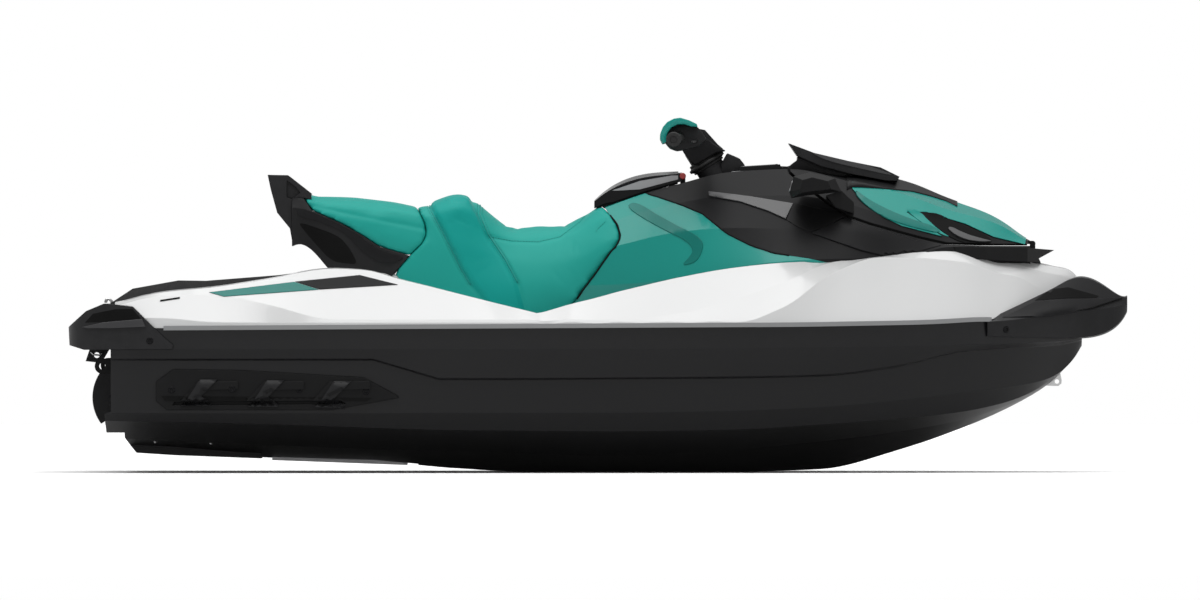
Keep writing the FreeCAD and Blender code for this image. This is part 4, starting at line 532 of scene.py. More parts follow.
def math_node(tree, operation, first, second=None, clamp=False):
    """A math node fed by sockets or numbers; returns its output."""
    node = tree.nodes.new("ShaderNodeMath")
    node.operation = operation
    node.use_clamp = clamp
    for socket, value in zip(node.inputs, (first, second)):
        if isinstance(value, bpy.types.NodeSocket):
            tree.links.new(value, socket)
        elif value is not None:
            socket.default_value = value
    return node.outputs[0]


def noise_node(tree, vector, scale, detail=3.0, roughness=0.55):
    """A noise texture in the craft's own coordinates; returns its factor."""
    node = tree.nodes.new("ShaderNodeTexNoise")
    set_inputs(node, {"Detail": detail, "Roughness": roughness})
    tree.links.new(vector, node.inputs["Vector"])
    if isinstance(scale, bpy.types.NodeSocket):
        tree.links.new(scale, node.inputs["Scale"])
    else:
        node.inputs["Scale"].default_value = scale
    return node.outputs["Fac"]


def finish_group():
    """Colour drift, roughness drift, worn edges and a fine grain, for every hard finish."""
    if "surface_finish" in bpy.data.node_groups:
        return bpy.data.node_groups["surface_finish"]
    tree, source, sink = group_tree("surface_finish", [
        ("Base", "NodeSocketColor", (0.5, 0.5, 0.5, 1)),
        ("Worn", "NodeSocketColor", (0.6, 0.6, 0.6, 1)),
        ("Wear", "NodeSocketFloat", 0.2),
        ("Roughness", "NodeSocketFloat", 0.3),
        ("Roughness Drift", "NodeSocketFloat", 0.05),
        ("Grain Scale", "NodeSocketFloat", 600.0),
        ("Cell Share", "NodeSocketFloat", 0.0),
    ], [
        ("Color", "NodeSocketColor"), ("Roughness", "NodeSocketFloat"), ("Height", "NodeSocketFloat"),
    ])
    place = tree.nodes.new("ShaderNodeTexCoord").outputs["Object"]
    broad = noise_node(tree, place, BROAD_SCALE)
    fine = noise_node(tree, place, source.outputs["Grain Scale"], detail=2.0)
    cells = tree.nodes.new("ShaderNodeTexVoronoi")
    tree.links.new(place, cells.inputs["Vector"])
    tree.links.new(source.outputs["Grain Scale"], cells.inputs["Scale"])
    edge = tree.nodes.new("ShaderNodeNewGeometry").outputs["Pointiness"]
    raised = math_node(tree, "SUBTRACT", edge, EDGE_START)
    sharp = math_node(tree, "MULTIPLY", raised, EDGE_GAIN, clamp=True)
    patchy = math_node(tree, "MULTIPLY", sharp, noise_node(tree, place, PATCH_SCALE))
    worn = math_node(tree, "MULTIPLY", patchy, source.outputs["Wear"], clamp=True)
    uneven = math_node(tree, "SUBTRACT", broad, NOISE_MIDDLE)
    drift = math_node(tree, "MULTIPLY", uneven, TONE_DRIFT)
    blend = tree.nodes.new("ShaderNodeMix")
    blend.data_type = "RGBA"
    tree.links.new(math_node(tree, "ADD", worn, drift, clamp=True), blend.inputs["Factor"])
    tree.links.new(source.outputs["Base"], blend.inputs["A"])
    tree.links.new(source.outputs["Worn"], blend.inputs["B"])
    tree.links.new(blend.outputs["Result"], sink.inputs["Color"])
    change = math_node(tree, "MULTIPLY", uneven, source.outputs["Roughness Drift"])
    rough = math_node(tree, "ADD", source.outputs["Roughness"], change, clamp=True)
    tree.links.new(rough, sink.inputs["Roughness"])
    cell_part = math_node(tree, "MULTIPLY", cells.outputs["Distance"], source.outputs["Cell Share"])
    tree.links.new(math_node(tree, "ADD", fine, cell_part), sink.inputs["Height"])
    return tree


def hard_material(name, base, worn, wear=0.2, roughness=0.3, drift=0.06, grain=600.0, cells=0.0,
                  depth=0.02, metallic=0.0, coat=0.0, coat_roughness=0.05, specular=0.5,
                  round_edge=0.0):
    """A gelcoat, plastic, rubber or metal finish with drift, worn edges and grain; depth is in mm."""
    made = bpy.data.materials.new(name)
    made.use_nodes = True
    tree = made.node_tree
    shader = tree.nodes["Principled BSDF"]
    skin = tree.nodes.new("ShaderNodeGroup")
    skin.node_tree = finish_group()
    set_inputs(skin, {"Base": (*base, 1), "Worn": (*worn, 1), "Wear": wear, "Roughness": roughness,
                      "Roughness Drift": drift, "Grain Scale": grain, "Cell Share": cells})
    bump = tree.nodes.new("ShaderNodeBump")
    set_inputs(bump, {"Strength": BUMP_STRENGTH, "Distance": depth / MM_PER_METRE})
    tree.links.new(skin.outputs["Color"], shader.inputs["Base Color"])
    tree.links.new(skin.outputs["Roughness"], shader.inputs["Roughness"])
    tree.links.new(skin.outputs["Height"], bump.inputs["Height"])
    if round_edge:
        rounded = tree.nodes.new("ShaderNodeBevel")
        rounded.samples = BEVEL_SAMPLES
        rounded.inputs["Radius"].default_value = round_edge
        tree.links.new(rounded.outputs["Normal"], bump.inputs["Normal"])
    tree.links.new(bump.outputs["Normal"], shader.inputs["Normal"])
    set_inputs(shader, {"Metallic": metallic, "Coat Weight": coat, "Coat Roughness": coat_roughness,
                        "Specular IOR Level": specular})
    made.diffuse_color = (*base, 1)
    return made


def mill_grooves(tree):
    """Adds a milled diamond of grooves to a finish."""
    place = tree.nodes.new("ShaderNodeTexCoord").outputs["Object"]
    bump = next(item for item in tree.nodes if item.type == "BUMP")
    height = bump.inputs["Height"].links[0].from_socket
    for turn in (GROOVE_TURN, -GROOVE_TURN):
        turned = tree.nodes.new("ShaderNodeMapping")
        turned.inputs["Rotation"].default_value = (0, 0, turn)
        tree.links.new(place, turned.inputs["Vector"])
        wave = tree.nodes.new("ShaderNodeTexWave")
        wave.inputs["Scale"].default_value = GROOVE_SCALE
        tree.links.new(turned.outputs["Vector"], wave.inputs["Vector"])
        ridge = math_node(tree, "GREATER_THAN", wave.outputs["Fac"], GROOVE_SHARE)
        height = math_node(tree, "ADD", height, math_node(tree, "MULTIPLY", ridge, GROOVE_HEIGHT))
    tree.links.new(height, bump.inputs["Height"])
    bump.inputs["Distance"].default_value = GROOVE_DEPTH


def tone_bolster(tree):
    """Gives the seat's cover a deeper tone on the bolster."""
    skin = next(item for item in tree.nodes if item.type == "GROUP")
    inside = tree.nodes.new("ShaderNodeAttribute")
    inside.attribute_name = "bolster_depth"
    tone = tree.nodes.new("ShaderNodeMix")
    tone.data_type = "RGBA"
    mask = math_node(tree, "MULTIPLY", inside.outputs["Fac"], BOLSTER_GAIN, clamp=True)
    tree.links.new(mask, tone.inputs["Factor"])
    set_inputs(tone, {"A": (*shade(("vinyl", 1.0)), 1), "B": (*shade(("vinyl_dark", 1.0)), 1)})
    tree.links.new(tone.outputs["Result"], skin.inputs["Base"])


SEAT_VINYL = dict(
    base=("vinyl", 1.0), worn=("vinyl", 1.2), wear=0.1, roughness=0.50, grain=900.0, cells=1.0,
    depth=0.10, specular=0.20)

# Each finish by its name. A colour is written out, or is a share of one of the colour settings.
FINISHES = {
    # Gloss gelcoats of the deck and the hull
    "white_gelcoat": dict(
        base=("white", 1.0), worn=("white", 0.9), wear=0.1, roughness=0.22, depth=0.01, coat=0.5,
        coat_roughness=0.04, round_edge=0.004),
    "black_gelcoat": dict(
        base=("black", 1.0), worn=("black", 3.0), wear=0.3, roughness=0.30, depth=0.01, coat=0.12,
        coat_roughness=0.10, specular=0.28, round_edge=0.004),
    # Satin black moulded plastic with a fine pebble grain
    "black_moulding": dict(
        base=("moulding", 1.0), worn=("moulding", 3.0), wear=0.4, roughness=0.44, grain=900.0,
        cells=0.8, depth=0.05, specular=0.22, round_edge=0.003),
    # Smooth satin black of the console and hood; a darker copy is painted shade on undercuts, a paler
    # one painted sheen on upper facets
    "console_satin": dict(
        base=("moulding", 0.8), worn=("moulding", 2.5), wear=0.3, roughness=0.36, specular=0.12,
        round_edge=0.003),
    "console_shade": dict(
        base=("moulding", 0.35), worn=("moulding", 1.5), roughness=0.45, specular=0.2,
        round_edge=0.003),
    "console_sheen": dict(
        base=("moulding", 2.4), worn=("moulding", 5.0), roughness=0.28, coat=0.2, coat_roughness=0.15,
        round_edge=0.003),
    # Polished black of the glove box lid, the instrument and the bumpers' screws
    "piano_black": dict(
        base=(0.006, 0.006, 0.007), worn=(0.03, 0.03, 0.03), wear=0.1, roughness=0.22, depth=0.004,
        specular=0.15, round_edge=0.003),
    # Dark glass of the display
    "display_glass": dict(
        base=(0.004, 0.005, 0.007), worn=(0.02, 0.02, 0.02), wear=0.0, roughness=0.06, drift=0.02,
        depth=0.001, coat=1.0, coat_roughness=0.01),
    # Dull black of the seals and the panel seams; on slots and recesses it is painted shade
    "recess_black": dict(
        base=(0.004, 0.004, 0.004), worn=(0.02, 0.02, 0.02), roughness=0.70, grain=1200.0, cells=0.4,
        depth=0.04, specular=0.15),
    # Gloss teal of the painted panels, and the deeper teal of the sculpted bands and the deck's stripe
    "teal_gloss": dict(
        base=("teal", 1.0), worn=("teal", 1.3), wear=0.1, roughness=0.24, depth=0.01, coat=0.15,
        specular=0.30, round_edge=0.003),
    "teal_band": dict(
        base=("teal", 0.62), worn=("teal", 1.0), wear=0.1, roughness=0.24, depth=0.01, coat=0.1,
        specular=0.25, round_edge=0.003),
    # Red plastic of the switch buttons and the lid's knuckles
    "signal_red": dict(base=(0.42, 0.012, 0.008), worn=(0.5, 0.05, 0.03), roughness=0.35, coat=0.3),
    # Light grey extruded strip along the sheer
    "rub_strip_grey": dict(base=("rail", 1.0), worn=("rail", 1.3), wear=0.3, roughness=0.40),
    # Satin light grey of the lid's panel and the display's rim
    "satin_grey": dict(
        base=(0.35, 0.35, 0.36), worn=(0.5, 0.5, 0.5), wear=0.1, roughness=0.30, depth=0.01),
    # Black rubber of the grips and the steering boot
    "soft_rubber": dict(
        base=(0.012, 0.012, 0.012), worn=(0.05, 0.05, 0.05), wear=0.3, roughness=0.62, grain=1500.0,
        cells=0.6, depth=0.06),
    # Grey-black closed-cell foam of the traction mats
    "mat_foam": dict(
        base=(0.022, 0.022, 0.023), worn=(0.08, 0.08, 0.08), wear=0.4, roughness=0.75, grain=700.0,
        cells=0.4, depth=0.12),
    # Polished steel, the jet pump's sand-cast aluminium and silvered glass with a faint haze
    "stainless": dict(
        base=(0.58, 0.58, 0.58), worn=(0.7, 0.7, 0.7), roughness=0.22, grain=300.0, depth=0.004,
        metallic=1.0),
    "cast_aluminium": dict(
        base=(0.42, 0.42, 0.43), worn=(0.6, 0.6, 0.6), wear=0.3, roughness=0.45, grain=500.0, cells=0.4,
        depth=0.06, metallic=1.0),
    "mirror_silver": dict(
        base=(0.80, 0.81, 0.82), worn=(0.9, 0.9, 0.9), wear=0.0, roughness=0.03, drift=0.02,
        depth=0.001, metallic=1.0),
    # Marine vinyl with a fine leather grain, for the plain solids and for the cushions; its thread
    "seat_vinyl": SEAT_VINYL,
    "seat_cover": SEAT_VINYL,
    "seat_thread": dict(
        base=("vinyl_dark", 0.8), worn=("vinyl_dark", 1.2), wear=0.1, roughness=0.6, grain=2500.0,
        depth=0.03),
}

# What some finishes have besides
FINISH_EXTRAS = {"mat_foam": mill_grooves, "seat_cover": tone_bolster}

# The construction pieces that each finish covers
FINISHED_NODES = {
    "black_gelcoat": ("hull",),
    "white_gelcoat": ("deck",),
    "rub_strip_grey": ("rub_rail",),
    "black_moulding": (
        "stern_bumper", "bow_bumper", "seat_tail", "grab_handle", "steering_socket", "tow_hook",
        "drain_plugs", "ride_plate", "steering_nozzle", "reverse_bucket", "visor", "lid_hinge",
        "steering_riser", "switch_pods", "levers"),
    "console_satin": ("console", "hood_shell"),
    # Painted shade: a darker copy of the satin black on these mouldings
    "console_shade": (
        "sponson_starboard", "sponson_port", "nose_trim", "stern_eyes", "mirror_housings"),
    "piano_black": ("instrument", "glovebox_lid"),
    "teal_gloss": ("knee_panel", "hood_insert", "palm_rests"),
    "seat_vinyl": ("seat_front", "seat_rear"),
    "soft_rubber": ("grips",),
    "mat_foam": ("platform_mat", "footwell_mats"),
    "stainless": ("bow_eye", "impeller", "steering_column", "handlebar"),
    "cast_aluminium": ("engine", "pump_housing", "intake_grate"),
    "mirror_silver": ("mirror_glasses",),
}


def shade(colour):
    """A colour as it is written, or a share of one of the colour settings."""
    if not isinstance(colour[0], str):
        return colour
    setting, share = colour
    return tuple(min(1.0, part * share) for part in getattr(bpy.context.scene.craft_colours, setting))


def finish(name):
    """The material of a finish, made when it is first asked for."""
    if name not in bpy.data.materials:
        values = dict(FINISHES[name])
        base, worn = shade(values.pop("base")), shade(values.pop("worn"))
        made = hard_material(name, base, worn, **values)
        if name in FINISH_EXTRAS:
            FINISH_EXTRAS[name](made.node_tree)
    return bpy.data.materials[name]


def moulded(name, outline, across, edge, body, twin=False):
    """A black moulding cut to an outline of the side view."""
    return dress(slab(name, outline, *across, edge, twin), body, "black_moulding")


class CRAFT_OT_finishes(bpy.types.Operator):
    """Give every construction piece its finish"""

    bl_idname = "craft.finishes"
    bl_label = "Finishes"
    bl_options = {"REGISTER", "UNDO"}

    def execute(self, context):
        for name, pieces in FINISHED_NODES.items():
            for piece in pieces:
                node(piece).data.materials.clear()
                node(piece).data.materials.append(finish(name))
        return {"FINISHED"}


# Seat

SEAT_BAND_REAR_PX = [(428, 200), (430, 208), (444, 234), (462, 270), (471, 285), (486, 303)]
SEAT_BAND_FORE_PX = [(470, 190), (474, 203), (480, 215), (488, 234), (505, 259), (518, 283), (526, 312)]
SEAT_SIDE_SEAM_PX = [(490, 237), (512, 241), (538, 242), (560, 237), (580, 222), (596, 203)]
REAR_SIDE_SEAM_PX = [(314, 206), (350, 214), (390, 222), (427, 229)]

# How each cushion is grown: mesh size, rounds of easing, air pressure and how far it may swell
FRONT_PADDING = {"voxel": 0.010, "rounds": 3, "pressure": 3.0, "limit": 0.010}
REAR_PADDING = {"voxel": 0.009, "rounds": 3, "pressure": 3.0, "limit": 0.009}
PADDING_FRAMES = 20
CLOTH_QUALITY, CLOTH_STIFFNESS, CLOTH_BENDING = 5, 20, 0.5

# Width and depth of the sewn channels
BAND_SEAM, FRONT_SIDE_SEAM, REAR_SIDE_SEAM = (0.007, 0.0045), (0.008, 0.003), (0.008, 0.0025)

BAND_RISE, BAND_EASE = 0.006, 0.022
PIPING_LIFT, PIPING_RADIUS = 0.0005, 0.0022
STITCH_LIFT, STITCH_BESIDE = 0.0006, 0.008
STITCH_PITCH, STITCH_LONG, STITCH_RADIUS, STITCH_SIDES = 0.009, 0.0055, 0.0008, 5


def settle(piece):
    """Applies a piece's modifiers to its mesh."""
    graph = bpy.context.evaluated_depsgraph_get()
    shaped = bpy.data.meshes.new_from_object(piece.evaluated_get(graph))
    piece.modifiers.clear()
    plain = piece.data
    piece.data = shaped
    bpy.data.meshes.remove(plain)


def rows_of(items, field):
    """A field with three numbers of each item, as rows."""
    rows = numpy.empty(len(items) * 3)
    items.foreach_get(field, rows)
    return rows.reshape(-1, 3)


def points_of(mesh):
    """The mesh's points as rows of numbers."""
    return rows_of(mesh.vertices, "co")


def normals_of(mesh):
    """The normals at the mesh's points as rows of numbers."""
    return rows_of(mesh.vertex_normals, "vector")


def move_points(mesh, rows):
    """Puts the mesh's points at new places."""
    mesh.vertices.foreach_set("co", rows.reshape(-1))
    mesh.update()


def eased(mesh, rounds):
    """Rounds the mesh's edges off by averaging each point with its neighbours."""
    shape = bmesh.new()
    shape.from_mesh(mesh)
    for _ in range(rounds):
        bmesh.ops.smooth_vert(shape, verts=shape.verts, factor=0.5,
                              use_axis_x=True, use_axis_y=True, use_axis_z=True)
    shape.to_mesh(mesh)
    shape.free()
    mesh.update()


def away_from_line(rows, line):
    """Signed distances in the side view from points to a line; positive towards the bow."""
    flat = rows[:, (0, 2)]
    nearest = numpy.full(len(rows), FAR)
    signed = numpy.full(len(rows), FAR)
    for start, end in zip(line, line[1:]):
        run = numpy.array(end - start)
        base = numpy.array(start)
        along = numpy.clip(((flat - base) @ run) / (run @ run), 0, 1)
        gap = flat - (base + along[:, None] * run)
        far = numpy.sqrt((gap ** 2).sum(axis=1))
        turn = run[0] * gap[:, 1] - run[1] * gap[:, 0]
        closer = far < nearest
        nearest[closer] = far[closer]
        signed[closer] = numpy.where(turn[closer] > 0, far[closer], -far[closer])
    return signed


def smooth_step(values, low, high):
    """Eased values from 0 at low to 1 at high."""
    share = numpy.clip((values - low) / (high - low), 0, 1)
    return share * share * (3 - 2 * share)


def swollen(piece, held, pressure, limit):
    """Blows a closed cover up by cloth, holds its seat on the neighbours and limits how far it goes."""
    before = points_of(piece.data)
    group = piece.vertex_groups.new(name="held")
    group.add([int(index) for index in numpy.nonzero(held)[0]], 1.0, "REPLACE")
    cloth = piece.modifiers.new("padding", "CLOTH")
    cloth.settings.quality = CLOTH_QUALITY
    cloth.settings.use_pressure = True
    cloth.settings.uniform_pressure_force = pressure
    cloth.settings.tension_stiffness = CLOTH_STIFFNESS
    cloth.settings.compression_stiffness = CLOTH_STIFFNESS
    cloth.settings.bending_stiffness = CLOTH_BENDING
    cloth.settings.effector_weights.gravity = 0
    cloth.settings.vertex_group_mass = "held"
    cloth.point_cache.frame_start = 1
    cloth.point_cache.frame_end = PADDING_FRAMES
    scene = bpy.context.scene
    for moment in range(1, PADDING_FRAMES + 1):
        scene.frame_set(moment)
    settle(piece)
    moved = points_of(piece.data) - before
    far = numpy.sqrt((moved ** 2).sum(axis=1))
    share = numpy.minimum(1.0, limit / numpy.maximum(far, 1e-9))
    move_points(piece.data, before + moved * share[:, None])
    scene.frame_set(1)
    piece.vertex_groups.clear()


def cushion(name, solid, neighbours, voxel, rounds, pressure, limit):
    """A padded cover grown from its plain solid: rounded, filled and held where it meets its
    neighbours.
    """
    piece = bpy.data.objects.new(name, solid.data.copy())
    bpy.context.scene.collection.objects.link(piece)
    piece.data.materials.clear()
    remesh = piece.modifiers.new("fine_mesh", "REMESH")
    remesh.mode = "VOXEL"
    remesh.voxel_size = voxel
    settle(piece)
    eased(piece.data, rounds)
    ground = surface_of(*neighbours)
    held = numpy.array([ground.find_nearest(vertex.co, 2 * voxel)[0] is not None
                        for vertex in piece.data.vertices])
    swollen(piece, held, pressure, limit)
    finer_mesh = piece.modifiers.new("finer", "SUBSURF")
    finer_mesh.levels = 1
    settle(piece)
    piece.data.polygons.foreach_set("use_smooth", [True] * len(piece.data.polygons))
    return piece


def press_seam(piece, line, wide, depth):
    """Sinks a sewn channel into a cushion along a line of the side view."""
    mesh = piece.data
    rows = points_of(mesh)
    gap = away_from_line(rows, line)
    push = -depth * numpy.exp(-(gap / wide) ** 2)
    move_points(mesh, rows + normals_of(mesh) * push[:, None])


def flank_path(ground, line, lift):
    """A path on the starboard flank along a line of the side view."""
    return [on_flank(ground, point, lift)[0] for point in finer(line, PANEL_STEP)]


def seam_path(ground, line, lift):
    """A path down both flanks and over the top, above a line of the side view."""
    side = flank_path(ground, line, lift)
    top = side[0]
    reach = abs(top.y)
    count = max(2, math.ceil(2 * reach / PANEL_STEP))
    crossing = []
    for index in range(1, count):
        across = -reach + 2 * reach * index / count
        crossing.append(on_top(ground, top.x, across, lift))
    return side[::-1] + crossing + mirrored_points(side)


def stitches(path):
    """A row of short stitches beside a path."""
    parts = []
    carried = 0.0
    for start, end in zip(path, path[1:]):
        run = end - start
        reach = run.length
        while carried < reach:
            head = start + run * (carried / reach)
            tail = head + run.normalized() * STITCH_LONG
            parts.append(tube_parts([head, tail], STITCH_RADIUS, sides=STITCH_SIDES))
            carried += STITCH_PITCH
        carried -= reach
    return joined(parts)


class CRAFT_OT_seat(bpy.types.Operator):
    """Upholster the front and the rear seat"""

    bl_idname = "craft.seat"
    bl_label = "Seat"
    bl_options = {"REGISTER", "UNDO"}

    def execute(self, context):
        front = cushion("seat_cushion_front", node("seat_front"),
                        ["deck", "knee_panel", "seat_rear", "seat_tail"], **FRONT_PADDING)
        rear = cushion("seat_cushion_rear", node("seat_rear"),
                       ["seat_front", "seat_tail", "grab_handle"], **REAR_PADDING)
        band_rear = flank(SEAT_BAND_REAR_PX)
        band_fore = flank(SEAT_BAND_FORE_PX)
        rows = points_of(front.data)
        inside = numpy.minimum(away_from_line(rows, band_rear), -away_from_line(rows, band_fore))
        lift = BAND_RISE * smooth_step(inside, 0.0, BAND_EASE)
        move_points(front.data, rows + normals_of(front.data) * lift[:, None])
        mask = front.data.attributes.new("bolster_depth", "FLOAT", "POINT")
        mask.data.foreach_set("value", inside)
        for line in (band_rear, band_fore):
            press_seam(front, line, *BAND_SEAM)
        press_seam(front, flank(SEAT_SIDE_SEAM_PX), *FRONT_SIDE_SEAM)
        press_seam(rear, flank(REAR_SIDE_SEAM_PX), *REAR_SIDE_SEAM)
        for piece, solid in ((front, "seat_front"), (rear, "seat_rear")):
            dress(piece, "craft", "seat_cover")
            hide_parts(solid)
        ground = surface_of(front)
        seams = (band_rear[1:-1], band_fore[2:-1])
        piping = [tube_parts(seam_path(ground, line, PIPING_LIFT), PIPING_RADIUS) for line in seams]
        dress(mesh_object("seat_piping", *joined(piping)), "craft", "seat_thread")
        threads = []
        for line in seams:
            for shift in (-STITCH_BESIDE, STITCH_BESIDE):
                beside = [point + Vector((shift, 0)) for point in line]
                threads.append(stitches(seam_path(ground, beside, STITCH_LIFT)))
        row = stitches(flank_path(ground, flank(SEAT_SIDE_SEAM_PX), STITCH_LIFT))
        threads += [row, with_twin(*row)]
        dress(mesh_object("seat_stitching", *joined(threads)), "craft", "seat_thread")
        return {"FINISHED"}


# Livery, sculpted panels and patches of painted sheen and shade

DECK_STRIPE_PX = [(212, 292.6), (295.9, 282.2), (320.4, 289.8), (226.5, 296.7)]
DECK_PANEL_PX = [(297.2, 282), (361, 275.4), (399, 284.9), (321.8, 289.6)]
DECK_SLOT_PX = [(163.3, 300.2), (182.7, 297.2), (182.7, 298.7), (163.3, 301.7)]
TAIL_RIM_PX = [(298, 207.5), (313, 211.5), (337, 222.5), (358, 233.2), (370, 244), (387, 252.4),
               (405, 256.4), (400, 262), (381, 264), (369, 256), (358, 246.5), (348.8, 236.5),
               (336.8, 228.3), (317.7, 221.2), (298, 216.5)]
TAIL_RECESS_PX = [(298, 221.5), (318, 228), (338, 235.5), (347, 244), (354.5, 256), (358, 264.5),
                  (346, 263.5), (332, 261), (318, 246), (306, 232)]
HANDLE_WEB_PX = [(284, 178), (291, 179.2), (302, 190.5), (304, 198), (290, 200.5), (284, 198)]
KNEE_BAND_PX = [(626, 206.4), (636.5, 202.6), (658.9, 216.6), (682.8, 229.4), (697.1, 235.7),
                (704.1, 244.7), (697.8, 261.3), (686, 265.4), (682.1, 264.4), (689.1, 257.4),
                (693.3, 250.1), (686, 240.5), (665.2, 231), (639.7, 216.6)]
# Outline of a painted sheen streak on the console's shoulder
CONSOLE_PAINTED_SHEEN_PX = [(708.5, 192.5), (750, 197), (792.5, 203.8), (785, 219.8), (768, 212), (740, 202.5),
                    (709, 197)]
# Outline of painted shade on the console's flank below the mirror
CONSOLE_PAINTED_SHADE_PX = [(793.5, 204), (820, 210), (847, 215.6), (829, 225), (809, 232.6), (796, 227),
                    (785.5, 220.3)]
CONSOLE_FLANK_PX = [(848, 216.6), (894, 231.5), (940, 245.6), (918, 251.5), (892, 258.5), (860, 251),
                    (811, 234)]
INSERT_LOW_PX = [(854, 190.5), (866, 200), (884, 209.5), (908, 219.5), (934, 227.5), (941, 234.5),
                 (905, 226), (882, 217.5), (866, 207), (855.5, 197)]
KNEE_SEAM_PX = [(648, 194.5), (703, 213.3), (724, 231.8), (753, 246.4), (788, 256.1)]
SEAT_SEAM_PX = [(617, 206), (620, 222), (612, 240), (596, 268), (577, 299)]
PANEL_SEAM_RADIUS = 0.0028
HANDLE_WEB_ACROSS, HANDLE_WEB_EDGE = (0.126, 0.142), 0.003
HOOD_SPINE_LIFT = 0.0032

# Panels whose corners stay sharp; the corners of the others are cut round
SHARP_PANELS = ("deck_stripe", "deck_panel", "deck_slot",
                "console_sheen", "console_shade", "console_flank")
SCOOP_PX = [(918, 212.6), (926, 213.2), (936, 213.6), (948, 219.4), (962, 225.4), (980, 232.4),
            (992, 240.6), (988, 244.4), (974, 244.2), (960, 242.6), (947, 236.4), (936, 228.4),
            (926, 219.6)]
SCOOP_FLOOR_PX = [(945.6, 228.8), (950, 227.2), (958, 231.8), (970, 236.8), (984, 240.4),
                  (991.4, 242.4), (980, 243.0), (966, 241.4), (954, 236.6)]
SCOOP_LIP_PX = [(904, 209.4), (912, 209.4), (920, 213.4), (928, 221.4), (938, 230.4), (950, 237.6),
                (940, 234.6), (928, 227.4), (915, 219)]
HOOD_SPINE_PX = [(846, 190.5), (849, 188.6), (853, 187.8), (860, 187.8), (880, 188.9), (912, 192.0),
                 (930, 196.4), (946, 201.4), (957, 207.0)]
VISOR_FACET_PX = [(808, 151.6), (830, 156.2), (858, 163.2), (880, 170), (895, 176), (880, 173.4),
                  (856, 168), (826, 161)]


class CRAFT_OT_livery(bpy.types.Operator):
    """Lay the coloured stripes, the sculpted panels and the painted sheen and shade on the flanks"""

    bl_idname = "craft.livery"
    bl_label = "Livery"
    bl_options = {"REGISTER", "UNDO"}

    def execute(self, context):
        deck = surface_of("deck")
        knee = surface_of("knee_panel")
        tail = surface_of("seat_tail")
        console = surface_of("console")
        hood = surface_of("hood_shell", "hood_insert")
        visor = surface_of("visor")
        # Name, outline, ground, lift, lift at the far end of a tilt with its line, body, finish, slot
        panels = (
            ("deck_stripe", DECK_STRIPE_PX, deck, 0.0018, None, "craft", "teal_band", "panel_teal"),
            ("deck_panel", DECK_PANEL_PX, deck, 0.0018, None,
             "craft", "console_satin", "console_black"),
            # Painted shade in the deck's slot
            ("deck_slot", DECK_SLOT_PX, deck, 0.0018, None, "craft", "recess_black", "trim_black"),
            ("tail_rim", TAIL_RIM_PX, tail, 0.0020, (0.006, ((352, 228), (346, 240))),
             "craft", "console_satin", "trim_black"),
            # Painted shade in the tail's recess
            ("tail_recess", TAIL_RECESS_PX, tail, 0.0012, None,
             "craft", "recess_black", "trim_black"),
            ("knee_band", KNEE_BAND_PX, knee, 0.0015, (0.006, ((660, 236), (672, 212))),
             "craft", "teal_band", "panel_teal"),
            # Painted sheen on the console's shoulder
            ("console_sheen", CONSOLE_PAINTED_SHEEN_PX, console, 0.0012, (0.007, ((770, 196), (764, 216))),
             "craft", "console_sheen", "console_black"),
            # Painted shade on the console's flank below the mirror
            ("console_shade", CONSOLE_PAINTED_SHADE_PX, console, 0.0012, (0.006, ((812, 234), (818, 208))),
             "craft", "console_shade", "console_black"),
            ("console_flank", CONSOLE_FLANK_PX, console, 0.0012, (0.005, ((885, 222), (870, 256))),
             "craft", "console_satin", "console_black"),
            ("insert_low", INSERT_LOW_PX, hood, 0.0012, (0.005, ((896, 228), (902, 212))),
             "hood", "teal_band", "panel_teal"),
            ("scoop_lip", SCOOP_LIP_PX, hood, 0.0014, (0.003, ((915, 219), (919, 210))),
             "hood", "teal_gloss", "panel_teal"),
            # Painted shade in the hood's scoop
            ("hood_scoop", SCOOP_PX, hood, 0.0022, None, "hood", "recess_black", "trim_black"),
            # Painted sheen on the floor of the hood's scoop
            ("scoop_floor", SCOOP_FLOOR_PX, hood, 0.0032, (0.007, ((978, 231), (976, 241))),
             "hood", "console_sheen", "console_black"),
            # Painted sheen on the visor's facet
            ("visor_facet", VISOR_FACET_PX, visor, 0.0010, (0.004, ((850, 158), (846, 168))),
             "hood", "console_sheen", "trim_black"),
        )
        for name, outline, ground, lift, tilt, body, finish_name, slot in panels:
            panel = inlay(name, outline, ground, lift, tilt=tilt, soft=name not in SHARP_PANELS)
            dress(panel, body, finish_name)
        front_seat = surface_of("seat_front")
        lines = [border_path(knee, console, KNEE_SEAM_PX), border_path(front_seat, knee, SEAT_SEAM_PX)]
        seams = joined([tube_parts(line, PANEL_SEAM_RADIUS) for line in lines])
        dress(mesh_object("panel_seams", *with_twin(*seams)), "craft", "recess_black")
        moulded("handle_web", HANDLE_WEB_PX, HANDLE_WEB_ACROSS, HANDLE_WEB_EDGE, "craft", twin=True)
        spine = crest_band("hood_spine", HOOD_SPINE_PX, hood, HOOD_SPINE_LIFT)
        dress(spine, "hood", "console_satin")
        return {"FINISHED"}


# Bumpers, sponsons and stern gear

